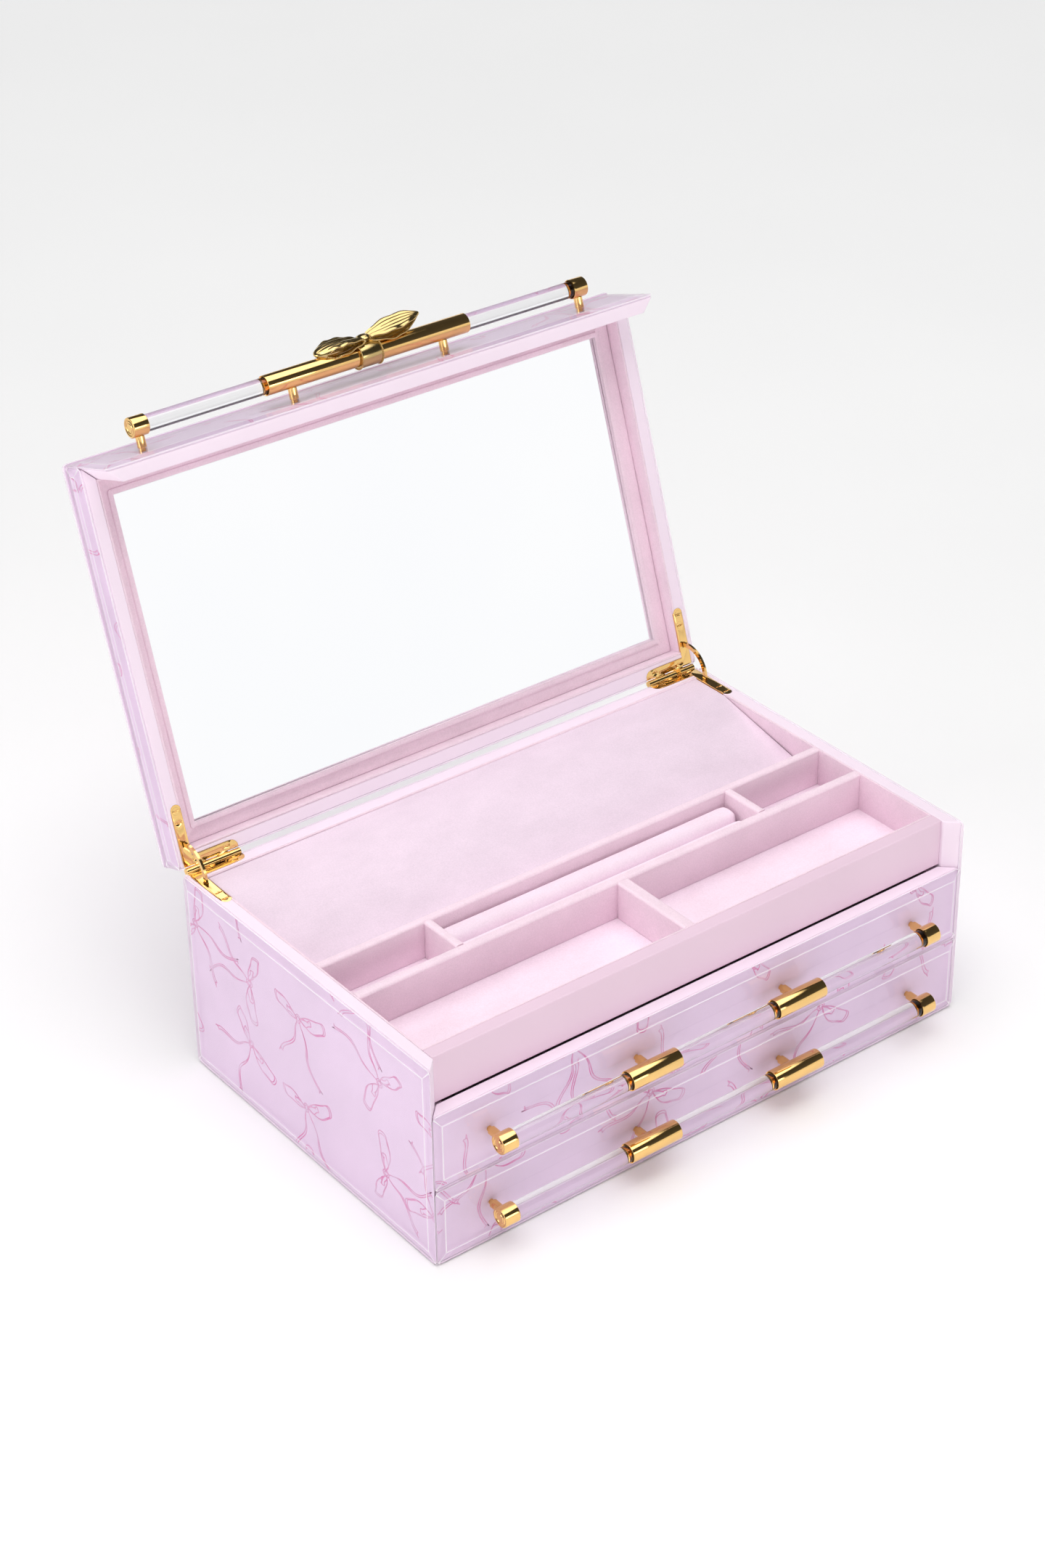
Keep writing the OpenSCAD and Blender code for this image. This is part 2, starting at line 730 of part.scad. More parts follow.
// round post with a foot on the glass, saddled to the sleeve, and its bolt from inside
module post_set(board) {
  depth = pane_t + board;
  for (x = post_x)
    translate([x, 0, 0]) {
      difference() {
        rotate([90, 0, 0]) {
          cylinder(d = post_d, h = standoff);
          cylinder(d1 = post_d + 2 * foot_flare, d2 = post_d, h = foot_h);
        }
        translate([-post_d, 0, 0]) on_rod() cylinder(d = fitting_d, h = 2 * post_d);
        rotate([90, 0, 0]) translate([0, 0, -cut]) cylinder(d = bolt_d, h = bolt_reach + cut);
      }
      rotate([-90, 0, 0]) {
        translate([0, 0, -bolt_reach])
          cylinder(d = bolt_d, h = bolt_reach + depth - bolt_pocket + bolt_head_h / 2);
        translate([0, 0, depth - bolt_pocket]) cylinder(d = bolt_head_d, h = bolt_head_h);
      }
    }
}

module drawer_fittings() {
  end_cap(-1);
  end_cap(1);
  for (side = [-1, 1]) translate([side * post_span / 2, 0, 0]) sleeve(collar_len);
}

module lid_handle_place() open_lid() translate([0, -hd, apron_mid]) children();

module lid_rod() color(clear_tint) lid_handle_place() rod();
module lid_sleeve() color(gold) lid_handle_place() sleeve(sleeve_len);
module lid_posts() color(gold) lid_handle_place() post_set(apron_t);
module lid_end_caps()
  color(gold) lid_handle_place() {
    end_cap(-1);
    end_cap(1);
  }

// ribbon band round the sleeve, with a rolled edge at both ends
module bow_band() {
  ri = fitting_d / 2 + rod_play;
  ro = ri + band_wall;
  color(gold)
    lid_handle_place()
      on_rod()
        rotate_extrude()
          polygon([[ri, -band_len / 2], [ro - lip, -band_len / 2], [ro, -band_len / 2 + lip],
            [ro, band_len / 2 - lip], [ro - lip, band_len / 2], [ri, band_len / 2]]);
}

// the bow's two loops and its knot
module bow_loops() {
  knot_r = 2.4;
  knot_x = 3;
  tip_r = 2;
  loop_r = 3.4;
  loop_z = 7;
  rise = 5;                         // the loops stand this far over the band
  near = standoff + fitting_d / 2 + band_wall + rod_play;
  color(gold)
    lid_handle_place() {
      for (side = [-1, 1])
        hull() {
          translate([side * knot_x, -near - knot_r, 0]) sphere(r = knot_r, $fn = 16);
          for (z = [-loop_z, loop_z])
            translate([side * 0.62 * bow_w / 2, -near - rise, z]) sphere(r = loop_r, $fn = 16);
          translate([side * (bow_w / 2 - tip_r), -near - rise - tip_r / 2, 0])
            sphere(r = tip_r, $fn = 16);
        }
      translate([-2 * knot_x, -near - 2 * knot_r, -knot_r])
        cube([4 * knot_x, 2 * knot_r, 2 * knot_r]);
    }
}

// ---- drawers ----

module drawer_front(z)
  color(board_pink)
    difference() {
      front_board(pane_t, pane_t + drawer_front_t, z, z + band_h, mitre_slack);
      translate([0, -hd, z + band_h / 2]) bolt_holes(pane_t + drawer_front_t);
    }

module drawer_pane(z)
  color(glass_tint)
    difference() {
      pane(hw, hd, z, z + band_h, mitre_slack);
      translate([0, -hd, z + band_h / 2]) bolt_holes(pane_t + drawer_front_t);
    }

// sides, back and bottom; the back stands higher, to meet the stop
module drawer_box(z)
  color(board_pink)
    difference() {
      union() {
        block([-drawer_hw, drawer_y0, z], [drawer_hw, drawer_y1, z + drawer_h]);
        block([-drawer_hw, drawer_y1 - drawer_side_t, z],
          [drawer_hw, drawer_y1, z + drawer_h + back_rise]);
      }
      block([-drawer_hw + drawer_side_t, drawer_y0 - cut, z + drawer_bottom_t],
        [drawer_hw - drawer_side_t, drawer_y1 - drawer_side_t, z + drawer_h + cut]);
    }

// suede inside a drawer
module drawer_lining(z) {
  x = drawer_hw - drawer_side_t;
  y1 = drawer_y1 - drawer_side_t;
  color(suede_pink)
    difference() {
      block([-x, drawer_y0, z + drawer_bottom_t], [x, y1, z + drawer_h]);
      block([-x + lining_t, drawer_y0 + lining_t, z + drawer_bottom_t + lining_t],
        [x - lining_t, y1 - lining_t, z + drawer_h + cut]);
    }
}

module front_place(z) translate([0, -hd, z + band_h / 2]) children();

module upper_drawer_front() drawer_front(upper_z);
module upper_drawer_pane() drawer_pane(upper_z);
module upper_drawer_box() drawer_box(upper_box_z);
module upper_drawer_lining() drawer_lining(upper_box_z);
module upper_rod() color(clear_tint) front_place(upper_z) rod();
module upper_fittings() color(gold) front_place(upper_z) drawer_fittings();
module upper_posts() color(gold) front_place(upper_z) post_set(drawer_front_t);
module lower_drawer_front() drawer_front(lower_z);
module lower_drawer_pane() drawer_pane(lower_z);
module lower_drawer_box() drawer_box(lower_box_z);
module lower_drawer_lining() drawer_lining(lower_box_z);
module lower_rod() color(clear_tint) front_place(lower_z) rod();
module lower_fittings() color(gold) front_place(lower_z) drawer_fittings();
module lower_posts() color(gold) front_place(lower_z) post_set(drawer_front_t);

base_felt();
floor_board();
left_wall();
right_wall();
back_wall();
inner_front_wall();
drawer_shelf();
tray_board();
tray_floor_lining();
tray_wall_lining();
front_divider();
rear_divider();
rear_panel();
front_cross_divider();
middle_cross_dividers();
ring_roll();
side_panes();
back_pane();
drawer_stops();
left_base_leaf();
right_base_leaf();
hinge_pins();
base_leaf_screws();
lid_top_board();
lid_left_rim();
lid_right_rim();
lid_back_rim();
lid_apron();
lid_lining();
mirror_plate();
mirror_frame();
lid_top_pane();
lid_side_panes();
lid_back_pane();
apron_pane();
left_lid_leaf();
right_lid_leaf();
lid_leaf_screws();
lid_rod();
lid_end_caps();
lid_sleeve();
lid_posts();
bow_band();
bow_loops();
left_stay();
right_stay();
upper_drawer_front();
upper_drawer_pane();
upper_drawer_box();
upper_drawer_lining();
upper_rod();
upper_fittings();
upper_posts();
lower_drawer_front();
lower_drawer_pane();
lower_drawer_box();
lower_drawer_lining();
lower_rod();
lower_fittings();
lower_posts();
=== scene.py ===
"""Glass-faced jewellery box: its finishes, soft parts and fittings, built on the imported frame."""

import json
import math

import bmesh
import bpy
from mathutils import Matrix, Vector


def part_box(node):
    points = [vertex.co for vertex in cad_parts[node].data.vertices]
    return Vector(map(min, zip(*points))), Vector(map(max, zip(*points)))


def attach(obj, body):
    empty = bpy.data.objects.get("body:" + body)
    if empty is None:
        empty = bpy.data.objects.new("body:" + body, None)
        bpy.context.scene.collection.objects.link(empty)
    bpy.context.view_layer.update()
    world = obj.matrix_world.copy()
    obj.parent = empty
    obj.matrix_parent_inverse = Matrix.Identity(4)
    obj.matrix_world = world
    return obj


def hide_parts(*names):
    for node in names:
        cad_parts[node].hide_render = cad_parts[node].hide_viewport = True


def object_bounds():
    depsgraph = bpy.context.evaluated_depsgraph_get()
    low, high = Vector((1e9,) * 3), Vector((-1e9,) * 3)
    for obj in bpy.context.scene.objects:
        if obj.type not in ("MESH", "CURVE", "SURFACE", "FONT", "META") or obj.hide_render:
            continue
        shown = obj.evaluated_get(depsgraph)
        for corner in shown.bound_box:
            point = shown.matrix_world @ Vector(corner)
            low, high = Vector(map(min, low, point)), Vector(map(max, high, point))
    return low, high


bl_info = {
    "name": "Glass-faced jewellery box",
    "version": (1, 0, 0),
    "blender": (4, 5, 0),
    "location": "View3D > Sidebar > Jewellery Box",
    "description": "Builds the boards, bevelled glass, suede, gold fittings and stage of a jewellery box",
    "category": "Object",
}

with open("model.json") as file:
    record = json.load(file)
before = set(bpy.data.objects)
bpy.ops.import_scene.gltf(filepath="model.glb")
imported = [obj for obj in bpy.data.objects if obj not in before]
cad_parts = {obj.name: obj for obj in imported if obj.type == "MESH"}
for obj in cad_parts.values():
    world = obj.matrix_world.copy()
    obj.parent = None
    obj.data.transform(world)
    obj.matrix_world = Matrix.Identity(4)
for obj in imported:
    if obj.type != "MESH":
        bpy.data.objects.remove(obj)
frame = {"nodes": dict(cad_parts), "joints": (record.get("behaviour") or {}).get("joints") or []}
CAD_BOX = [list(corner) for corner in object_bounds()]
NODES = frame["nodes"]
MM = 0.001

# ---- places worked out from the frame ----


def joint(name):
    return next(j for j in frame["joints"] if j["name"] == name)


HINGE = Vector(joint("lid_hinge")["pos_m"])
LID_ANGLE = math.radians(joint("lid_hinge")["range_deg"][1])
OPEN_LID = Matrix.Translation(HINGE) @ Matrix.Rotation(-LID_ANGLE, 4, "X") @ Matrix.Translation(-HINGE)
SHUT_LID = OPEN_LID.inverted()


def shut_box(node):
    """Lowest and highest corners of a lid node as it lies when the lid is shut."""
    points = [SHUT_LID @ v.co for v in NODES[node].data.vertices]
    low = Vector([min(p[i] for p in points) for i in range(3)])
    high = Vector([max(p[i] for p in points) for i in range(3)])
    return low, high


SIDES_LOW, SIDES_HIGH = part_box("side_panes")
PANE_LOW, PANE_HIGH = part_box("upper_drawer_pane")
HALF_W = SIDES_HIGH.x
HALF_D = -PANE_LOW.y
RIM_Z = SIDES_HIGH.z
GLASS_T = PANE_HIGH.y - PANE_LOW.y


# ---- sizes and colours that a user may change ----


def a_length(name, description, millimetres):
    return bpy.props.FloatProperty(
        name=name, description=description, default=millimetres * MM, unit="LENGTH")


def a_colour(name, description, default):
    return bpy.props.FloatVectorProperty(
        name=name, description=description, default=default, size=3, min=0, max=1, subtype="COLOR")


def a_share(name, description, default, least=0.0, most=1.0):
    return bpy.props.FloatProperty(
        name=name, description=description, default=default, min=least, max=most, subtype="FACTOR")


def an_angle(name, description, degrees):
    return bpy.props.FloatProperty(
        name=name, description=description, default=math.radians(degrees), subtype="ANGLE")


class GlassSettings(bpy.types.PropertyGroup):
    share: a_share("Glass share", "Share of a pane's depth that is glass", 0.87, 0.5, 0.95)
    bevel: a_length("Bevel width", "Width of the ground bevel", 6)
    bevel_depth: a_length("Bevel depth", "Depth of the bevel at the edge", 0.9)
    corner: a_length("Corner radius", "Radius of a pane's corners", 2.5)
    ground_line: a_length("Ground line", "Width of the fine line along the bevel", 0.55)
    tint: a_colour("Glass tint", "Colour of the glass", (0.985, 0.975, 0.99))


class PrintSettings(bpy.types.PropertyGroup):
    sheet: a_colour("Sheet colour", "Colour of the printed sheet", (0.88, 0.71, 0.87))
    line: a_colour("Line colour", "Colour of the drawn bows", (0.82, 0.24, 0.52))
    spacing: a_length("Spacing", "Distance between drawn bows", 56)
    width: a_length("Line width", "Width of a drawn line", 0.62)
    seed: bpy.props.IntProperty(
        name="Seed", description="Changes how the bows are strewn", default=7)


class BoardSettings(bpy.types.PropertyGroup):
    colour: a_colour("Board colour", "Paint on the boards", (0.95, 0.81, 0.92))
    # the inner front wall's colour is its own deeper pink, darkened further as painted shade
    inner_wall_shaded_colour: a_colour("Inner wall colour and painted shade", "Deeper pink paint with painted shade, on the inner front wall", (0.83, 0.62, 0.74))
    round_edge: a_length("Edge rounding", "Radius of the painted edges", 0.5)


class SuedeSettings(bpy.types.PropertyGroup):
    colour: a_colour("Suede colour", "Colour of the lining", (0.97, 0.77, 0.87))
    panel: a_colour("Panel colour", "Colour of the rear panel", (0.87, 0.72, 0.83))
    round_edge: a_length("Edge rounding", "Radius of the covered edges", 0.5)
    roll_fill: a_share("Roll fill", "How tightly the ring roll is stuffed", 0.7)


class GoldSettings(bpy.types.PropertyGroup):
    colour: a_colour("Gold colour", "Colour of the plating", (0.89, 0.58, 0.22))
    bow_colour: a_colour("Bow colour", "Colour of the cast bow", (0.60, 0.44, 0.19))
    bead: a_length("Bead size", "Radius of the beads along the ribbon", 0.42)
    fluting: a_length("Fluting", "Depth of the ribbon's pleats", 0.45)


class StageSettings(bpy.types.PropertyGroup):
    camera_place: bpy.props.FloatVectorProperty(
        name="Camera place", description="Where the camera stands",
        default=(-0.83823, -1.05955, 0.98783), size=3, subtype="TRANSLATION", unit="LENGTH")
    camera_turn: an_angle("Camera turn", "Heading, from looking straight at the front", 37.157)
    camera_drop: an_angle("Camera drop", "How far the camera looks down", 31.554)
    camera_roll: an_angle("Camera roll", "Tilt about its own axis", -0.94)
    lens: bpy.props.FloatProperty(
        name="Lens", description="Focal length in millimetres", default=70.97, min=10)


SETTINGS = {
    "jb_glass": GlassSettings, "jb_print": PrintSettings, "jb_board": BoardSettings,
    "jb_suede": SuedeSettings, "jb_gold": GoldSettings, "jb_stage": StageSettings,
}


# ---- mesh helpers ----


def link(mesh, name, materials, body, replaced=()):
    """A finished piece: its mesh in the row frame, riding on a body."""
    mesh.name = name
    marks = [polygon.material_index for polygon in mesh.polygons]
    mesh.materials.clear()
    for kind in materials:
        mesh.materials.append(kind)
    for polygon, mark in zip(mesh.polygons, marks):
        polygon.material_index = min(mark, len(materials) - 1)
    piece = bpy.data.objects.new(name, mesh)
    bpy.context.scene.collection.objects.link(piece)
    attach(piece, body)
    if replaced:
        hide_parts(*replaced)
    return piece


def smooth(mesh, degrees=32):
    for polygon in mesh.polygons:
        polygon.use_smooth = True
    mesh.set_sharp_from_angle(angle=math.radians(degrees))


def mesh_of(bm, name):
    """A new mesh with what the bmesh holds; the bmesh is freed."""
    mesh = bpy.data.meshes.new(name)
    bm.to_mesh(mesh)
    bm.free()
    return mesh


def joined(meshes, name):
    bm = bmesh.new()
    for mesh in meshes:
        bm.from_mesh(mesh)
        bpy.data.meshes.remove(mesh)
    return mesh_of(bm, name)


def evaluated(thing, name):
    """Plain mesh of an object with its modifiers applied; the object is removed."""
    bpy.context.view_layer.update()
    graph = bpy.context.evaluated_depsgraph_get()
    mesh = bpy.data.meshes.new_from_object(thing.evaluated_get(graph), depsgraph=graph)
    source = thing.data
    bpy.data.objects.remove(thing)
    if isinstance(source, bpy.types.Mesh):
        bpy.data.meshes.remove(source)
    mesh.name = name
    return mesh


def loose_object(mesh):
    thing = bpy.data.objects.new(mesh.name, mesh)
    bpy.context.scene.collection.objects.link(thing)
    return thing


def cad_copy(node):
    """The node's mesh with its corners joined and its flat faces made whole."""
    bm = bmesh.new()
    bm.from_mesh(NODES[node].data)
    bmesh.ops.remove_doubles(bm, verts=bm.verts, dist=1e-6)
    bmesh.ops.dissolve_limit(bm, angle_limit=math.radians(0.5), verts=bm.verts, edges=bm.edges)
    return mesh_of(bm, node)


def softened(node, radius, segments=2, shortest=3 * MM, sharp=35, faceted=False):
    """A copy of a CAD node with its long sharp edges rounded."""
    mesh = cad_copy(node)
    bm = bmesh.new()
    bm.from_mesh(mesh)
    bmesh.ops.triangulate(bm, faces=[f for f in bm.faces if len(f.verts) > 4])
    weight = bm.edges.layers.float.new("bevel_weight_edge")
    for edge in bm.edges:
        if len(edge.link_faces) != 2 or edge.calc_face_angle() < math.radians(sharp):
            continue
        long_enough = edge.calc_length() >= shortest
        edge[weight] = 1.0 if long_enough else 0.0
        edge.smooth = long_enough
    for polygon in bm.faces:
        polygon.smooth = not faceted
    bm.to_mesh(mesh)
    bm.free()
    thing = loose_object(mesh)
    bevel = thing.modifiers.new("Rounded edges", "BEVEL")
    bevel.limit_method = "WEIGHT"
    bevel.width = radius
    bevel.segments = segments
    bevel.use_clamp_overlap = False
    bevel.harden_normals = not faceted
    return evaluated(thing, node)


def rounded_ring(half_a, half_b, radius, depth, steps=5):
    """Corner-rounded rectangle in the face's own plane, depth along its normal."""
    ring = []
    for quarter in range(4):
        centre_a = (half_a - radius) * (1 if quarter in (0, 3) else -1)
        centre_b = (half_b - radius) * (1 if quarter in (0, 1) else -1)
        for step in range(steps + 1):
            angle = math.pi / 2 * (quarter + step / steps)
            ring.append(Vector((centre_a + radius * math.cos(angle),
                                centre_b + radius * math.sin(angle), depth)))
    return ring


def lofted(rings, name, closed=False):
    """Solid through rings of equal count; its ends are filled, or the last ring meets the first."""
    bm = bmesh.new()
    rows = [[bm.verts.new(p) for p in ring] for ring in rings]
    count = len(rows[0])
    for row, after in zip(rows, rows[1:] + rows[:1] if closed else rows[1:]):
        for i in range(count):
            j = (i + 1) % count
            bm.faces.new((row[i], row[j], after[j], after[i]))
    if not closed:
        bm.faces.new(list(reversed(rows[0])))
        bm.faces.new(rows[-1])
    bmesh.ops.recalc_face_normals(bm, faces=bm.faces)
    return mesh_of(bm, name)


def turned(profile, name, steps=64, closed=False):
    """Solid of revolution about X; the profile's points are (along, radius)."""
    angles = [2 * math.pi * i / steps for i in range(steps)]
    rings = [[Vector((along, radius * math.cos(a), radius * math.sin(a))) for a in angles]
             for along, radius in profile]
    return lofted(rings, name, closed)


def rounded_corner(along, radius, size, start, steps=3):
    """Quarter arc of a profile; start is the angle in degrees of its first point."""
    points = []
    for k in range(steps + 1):
        angle = math.radians(start + 90 * k / steps)
        points.append((along + size * math.cos(angle), radius + size * math.sin(angle)))
    return points


def notched(mesh, boxes):
    """mesh with boxes cut out of it."""
    thing = loose_object(mesh)
    cutters = []
    for low, high in boxes:
        bm = bmesh.new()
        bmesh.ops.create_cube(bm, size=1)
        bmesh.ops.scale(bm, vec=high - low, verts=bm.verts)
        bmesh.ops.translate(bm, vec=(low + high) / 2, verts=bm.verts)
        cutter = loose_object(mesh_of(bm, "cutter"))
        cutters.append(cutter)
        cut = thing.modifiers.new("Notch", "BOOLEAN")
        cut.object = cutter
        cut.solver = "EXACT"
    mesh = evaluated(thing, mesh.name)
    for cutter in cutters:
        data = cutter.data
        bpy.data.objects.remove(cutter)
        bpy.data.meshes.remove(data)
    return mesh


# ---- geometry node helpers ----


class Graph:
    """A geometry node tree while it is built; given holds its named inputs."""

    def __init__(self, name, sockets):
        self.tree = bpy.data.node_groups.new(name, "GeometryNodeTree")
        face = self.tree.interface
        for label, kind in sockets.items():
            face.new_socket(label, in_out="INPUT", socket_type=f"NodeSocket{kind}")
        face.new_socket("Geometry", in_out="OUTPUT", socket_type="NodeSocketGeometry")
        self.given = self.tree.nodes.new("NodeGroupInput").outputs

    def node(self, kind, inputs, **options):
        """A node with its options set, and its inputs wired or given a value."""
        made = self.tree.nodes.new(kind)
        for key, value in options.items():
            setattr(made, key, value)
        for socket, value in inputs.items():
            if isinstance(value, bpy.types.NodeSocket):
                self.tree.links.new(value, made.inputs[socket])
            else:
                made.inputs[socket].default_value = value
        return made

    def math(self, operation, a, b=0):
        return self.node("ShaderNodeMath", {0: a, 1: b}, operation=operation).outputs[0]

    def finished(self, geometry, colour):
        """The tree, ended with the material that it sets."""
        coloured = self.node("GeometryNodeSetMaterial", {"Geometry": geometry, "Material": colour})
        self.node("NodeGroupOutput", {"Geometry": coloured.outputs["Geometry"]})
        return self.tree


def grown(thing, tree, values):
    """Mesh that a node tree makes of an object, with its inputs set by their identifiers."""
    modifier = thing.modifiers.new(tree.name, "NODES")
    modifier.node_group = tree
    for item in tree.interface.items_tree:
        if item.item_type == "SOCKET" and item.in_out == "INPUT" and item.name in values:
            modifier[item.identifier] = values[item.name]
    thing.update_tag()
    return evaluated(thing, tree.name)


def drawn(paths, name):
    """Curve object with one straight-sided stroke through each list of points."""
    curve = bpy.data.curves.new(name, "CURVE")
    curve.dimensions = "3D"
    for path in paths:
        spline = curve.splines.new("POLY")
        spline.points.add(len(path) - 1)
        for target, point in zip(spline.points, path):
            target.co = (*point, 1)
    thing = bpy.data.objects.new(name, curve)
    bpy.context.scene.collection.objects.link(thing)
    return thing


# ---- material helpers ----


def new_material(name, tone, shades, values=()):
    """A material whose colour wanders between two shades; values are its shader's other inputs."""
    material = bpy.data.materials.new(name)
    material.use_nodes = True
    tree = material.node_tree
    shader = tree.nodes["Principled BSDF"]
    tree.links.new(shade_between(tree, noise(tree, *tone), *shades), shader.inputs["Base Color"])
    for socket, value in dict(values).items():
        shader.inputs[socket].default_value = value
    return material, tree, shader


def add(tree, kind, **values):
    node = tree.nodes.new(kind)
    for key, value in values.items():
        if key in node.inputs.keys():
            node.inputs[key].default_value = value
        else:
            setattr(node, key, value)
    return node


def noise(tree, scale, detail=3.0, roughness=0.55, stretch=(1, 1, 1)):
    """Noise on Object coordinates; scale is in features per metre."""
    place = add(tree, "ShaderNodeTexCoord")
    mapping = add(tree, "ShaderNodeMapping")
    mapping.inputs["Scale"].default_value = stretch
    texture = add(tree, "ShaderNodeTexNoise", Scale=scale, Detail=detail, Roughness=roughness)
    tree.links.new(place.outputs["Object"], mapping.inputs["Vector"])
    tree.links.new(mapping.outputs["Vector"], texture.inputs["Vector"])
    return texture.outputs["Fac"]


def spread(tree, fac, low, high):
    """Maps the middle of a noise's range, 0.3 to 0.7, to low..high."""
    node = add(tree, "ShaderNodeMapRange")
    for socket, value in (("From Min", 0.3), ("From Max", 0.7), ("To Min", low), ("To Max", high)):
        node.inputs[socket].default_value = value
    tree.links.new(fac, node.inputs["Value"])
    return node.outputs["Result"]


def shade_between(tree, fac, dark, light):
    ramp = add(tree, "ShaderNodeValToRGB")
    for element, (position, colour) in zip(ramp.color_ramp.elements, ((0.32, dark), (0.68, light))):
        element.position = position
        element.color = (*colour, 1)
    tree.links.new(fac, ramp.inputs["Fac"])
    return ramp.outputs["Color"]


def bump(tree, shader, height, strength, distance):
    node = add(tree, "ShaderNodeBump", Strength=strength, Distance=distance)
    tree.links.new(height, node.inputs["Height"])
    tree.links.new(node.outputs["Normal"], shader.inputs["Normal"])


def toned(colour, factor):
    return tuple(min(1.0, c * factor) for c in colour)


def about(colour, darker, lighter):
    """Two shades of a colour."""
    return toned(colour, darker), toned(colour, lighter)


def blended(tree, fac, first, second):
    """Ends the material with a mix of two shaders."""
    mix = add(tree, "ShaderNodeMixShader")
    for socket, source in enumerate((fac, first.outputs["BSDF"], second.outputs["BSDF"])):
        tree.links.new(source, mix.inputs[socket])
    tree.links.new(mix.outputs["Shader"], tree.nodes["Material Output"].inputs["Surface"])


def painted_board(name, colour):
    material, tree, shader = new_material(name, (14, 2), about(colour, 0.985, 1.015),
                                          {"Coat Weight": 0.08, "Coat Roughness": 0.35})
    grain = noise(tree, 1500, 3)
    tree.links.new(spread(tree, grain, 0.42, 0.5), shader.inputs["Roughness"])
    bump(tree, shader, grain, 0.12, 0.0002)
    return material


def suede(name, colour, nap=1.0):
    material, tree, shader = new_material(
        name, (38, 4, 0.6, (1, 1.6, 1)), about(colour, 0.965, 1.03),
        {"Roughness": 0.92, "Specular IOR Level": 0.2, "Sheen Weight": 0.35 * nap,
         "Sheen Roughness": 0.45, "Sheen Tint": (1.0, 0.9, 0.96, 1)})
    patches = shader.inputs["Base Color"].links[0].from_socket
    fibre = noise(tree, 1150, 4, 0.7)
    mixed = add(tree, "ShaderNodeMix", data_type="RGBA", blend_type="MULTIPLY")
    mixed.inputs["Factor"].default_value = 1.0
    tree.links.new(patches, mixed.inputs["A"])
    tree.links.new(shade_between(tree, fibre, (0.90,) * 3, (1.0,) * 3), mixed.inputs["B"])
    tree.links.new(mixed.outputs["Result"], shader.inputs["Base Color"])
    bump(tree, shader, fibre, 0.55 * nap, 0.0005)
    return material


def gold(name, colour, low=0.05, high=0.11):
    material, tree, shader = new_material(name, (60, 3), about(colour, 0.95, 1.04),
                                          {"Metallic": 1.0})
    marks = noise(tree, 420, 4, 0.6, (0.35, 1, 1))
    tree.links.new(spread(tree, marks, low, high), shader.inputs["Roughness"])
    bump(tree, shader, marks, 0.03, 0.0001)
    return material


def thin_glass(tint):
    """Glass that shows what is behind it, with the room mirrored in its front."""
    material, tree, shader = new_material("bevelled glass", (9, 2), about(tint, 0.997, 1.003))
    streaks = shader.inputs["Base Color"].links[0].from_socket
    through = add(tree, "ShaderNodeBsdfTransparent")
    tree.links.new(streaks, through.inputs["Color"])
    tree.nodes.remove(shader)
    gloss = add(tree, "ShaderNodeBsdfGlossy", Roughness=0.015)
    fresnel = add(tree, "ShaderNodeFresnel", IOR=1.38)
    side = add(tree, "ShaderNodeNewGeometry")
    outer = add(tree, "ShaderNodeMath", operation="SUBTRACT")
    outer.inputs[0].default_value = 1.0
    tree.links.new(side.outputs["Backfacing"], outer.inputs[1])
    share = add(tree, "ShaderNodeMath", operation="MULTIPLY")
    tree.links.new(fresnel.outputs["Fac"], share.inputs[0])
    tree.links.new(outer.outputs[0], share.inputs[1])
    blended(tree, share.outputs[0], through, gloss)
    return material


def ground_glass():
    """Ground edge of the glass: a milky sheen over what is behind it."""
    return new_material("ground glass", (30, 2), ((0.96, 0.92, 0.96), (0.99, 0.96, 0.99)),
                        {"Roughness": 0.35, "Alpha": 0.85})[0]


def glass_edge_painted_pink():
    """Polished edge of the glass: painted pink stands in for the sheet's colour seen through the glass.
    """
    return new_material("glass edge", (40, 2, 0.5, (0.3, 0.3, 1)),
                        ((0.88, 0.74, 0.86), (0.94, 0.82, 0.92)),
                        {"Roughness": 0.16, "Alpha": 0.88})[0]


def acrylic(tint):
    """Clear solid rod; lamps and bounced light pass straight through it."""
    material, tree, shader = new_material(
        "clear acrylic", (9, 2), about(tint, 0.997, 1.003),
        {"Transmission Weight": 1.0, "IOR": 1.49, "Roughness": 0.0})
    path = add(tree, "ShaderNodeLightPath")
    either = add(tree, "ShaderNodeMath", operation="MAXIMUM")
    tree.links.new(path.outputs["Is Shadow Ray"], either.inputs[0])
    tree.links.new(path.outputs["Is Diffuse Ray"], either.inputs[1])
    through = add(tree, "ShaderNodeBsdfTransparent", Color=(*toned(tint, 0.98), 1))
    blended(tree, either.outputs[0], shader, through)
    return material


def silvered():
    return new_material("silvered mirror", (7, 2), ((0.955, 0.965, 0.985), (0.975, 0.98, 0.99)),
                        {"Metallic": 1.0, "Roughness": 0.015})[0]


def paper(colour):
    material, tree, shader = new_material("printed sheet", (26, 3), about(colour, 0.965, 1.03),
                                          {"Roughness": 0.55})
    bump(tree, shader, noise(tree, 900, 2), 0.1, 0.0001)
    return material


def ink(line, sheet):
    """Pink that fades along its strokes towards the sheet's colour."""
    faint = tuple(0.22 * a + 0.78 * b for a, b in zip(line, sheet))
    return new_material("print ink", (95, 2), (line, faint), {"Roughness": 0.5})[0]


MATERIALS = {}


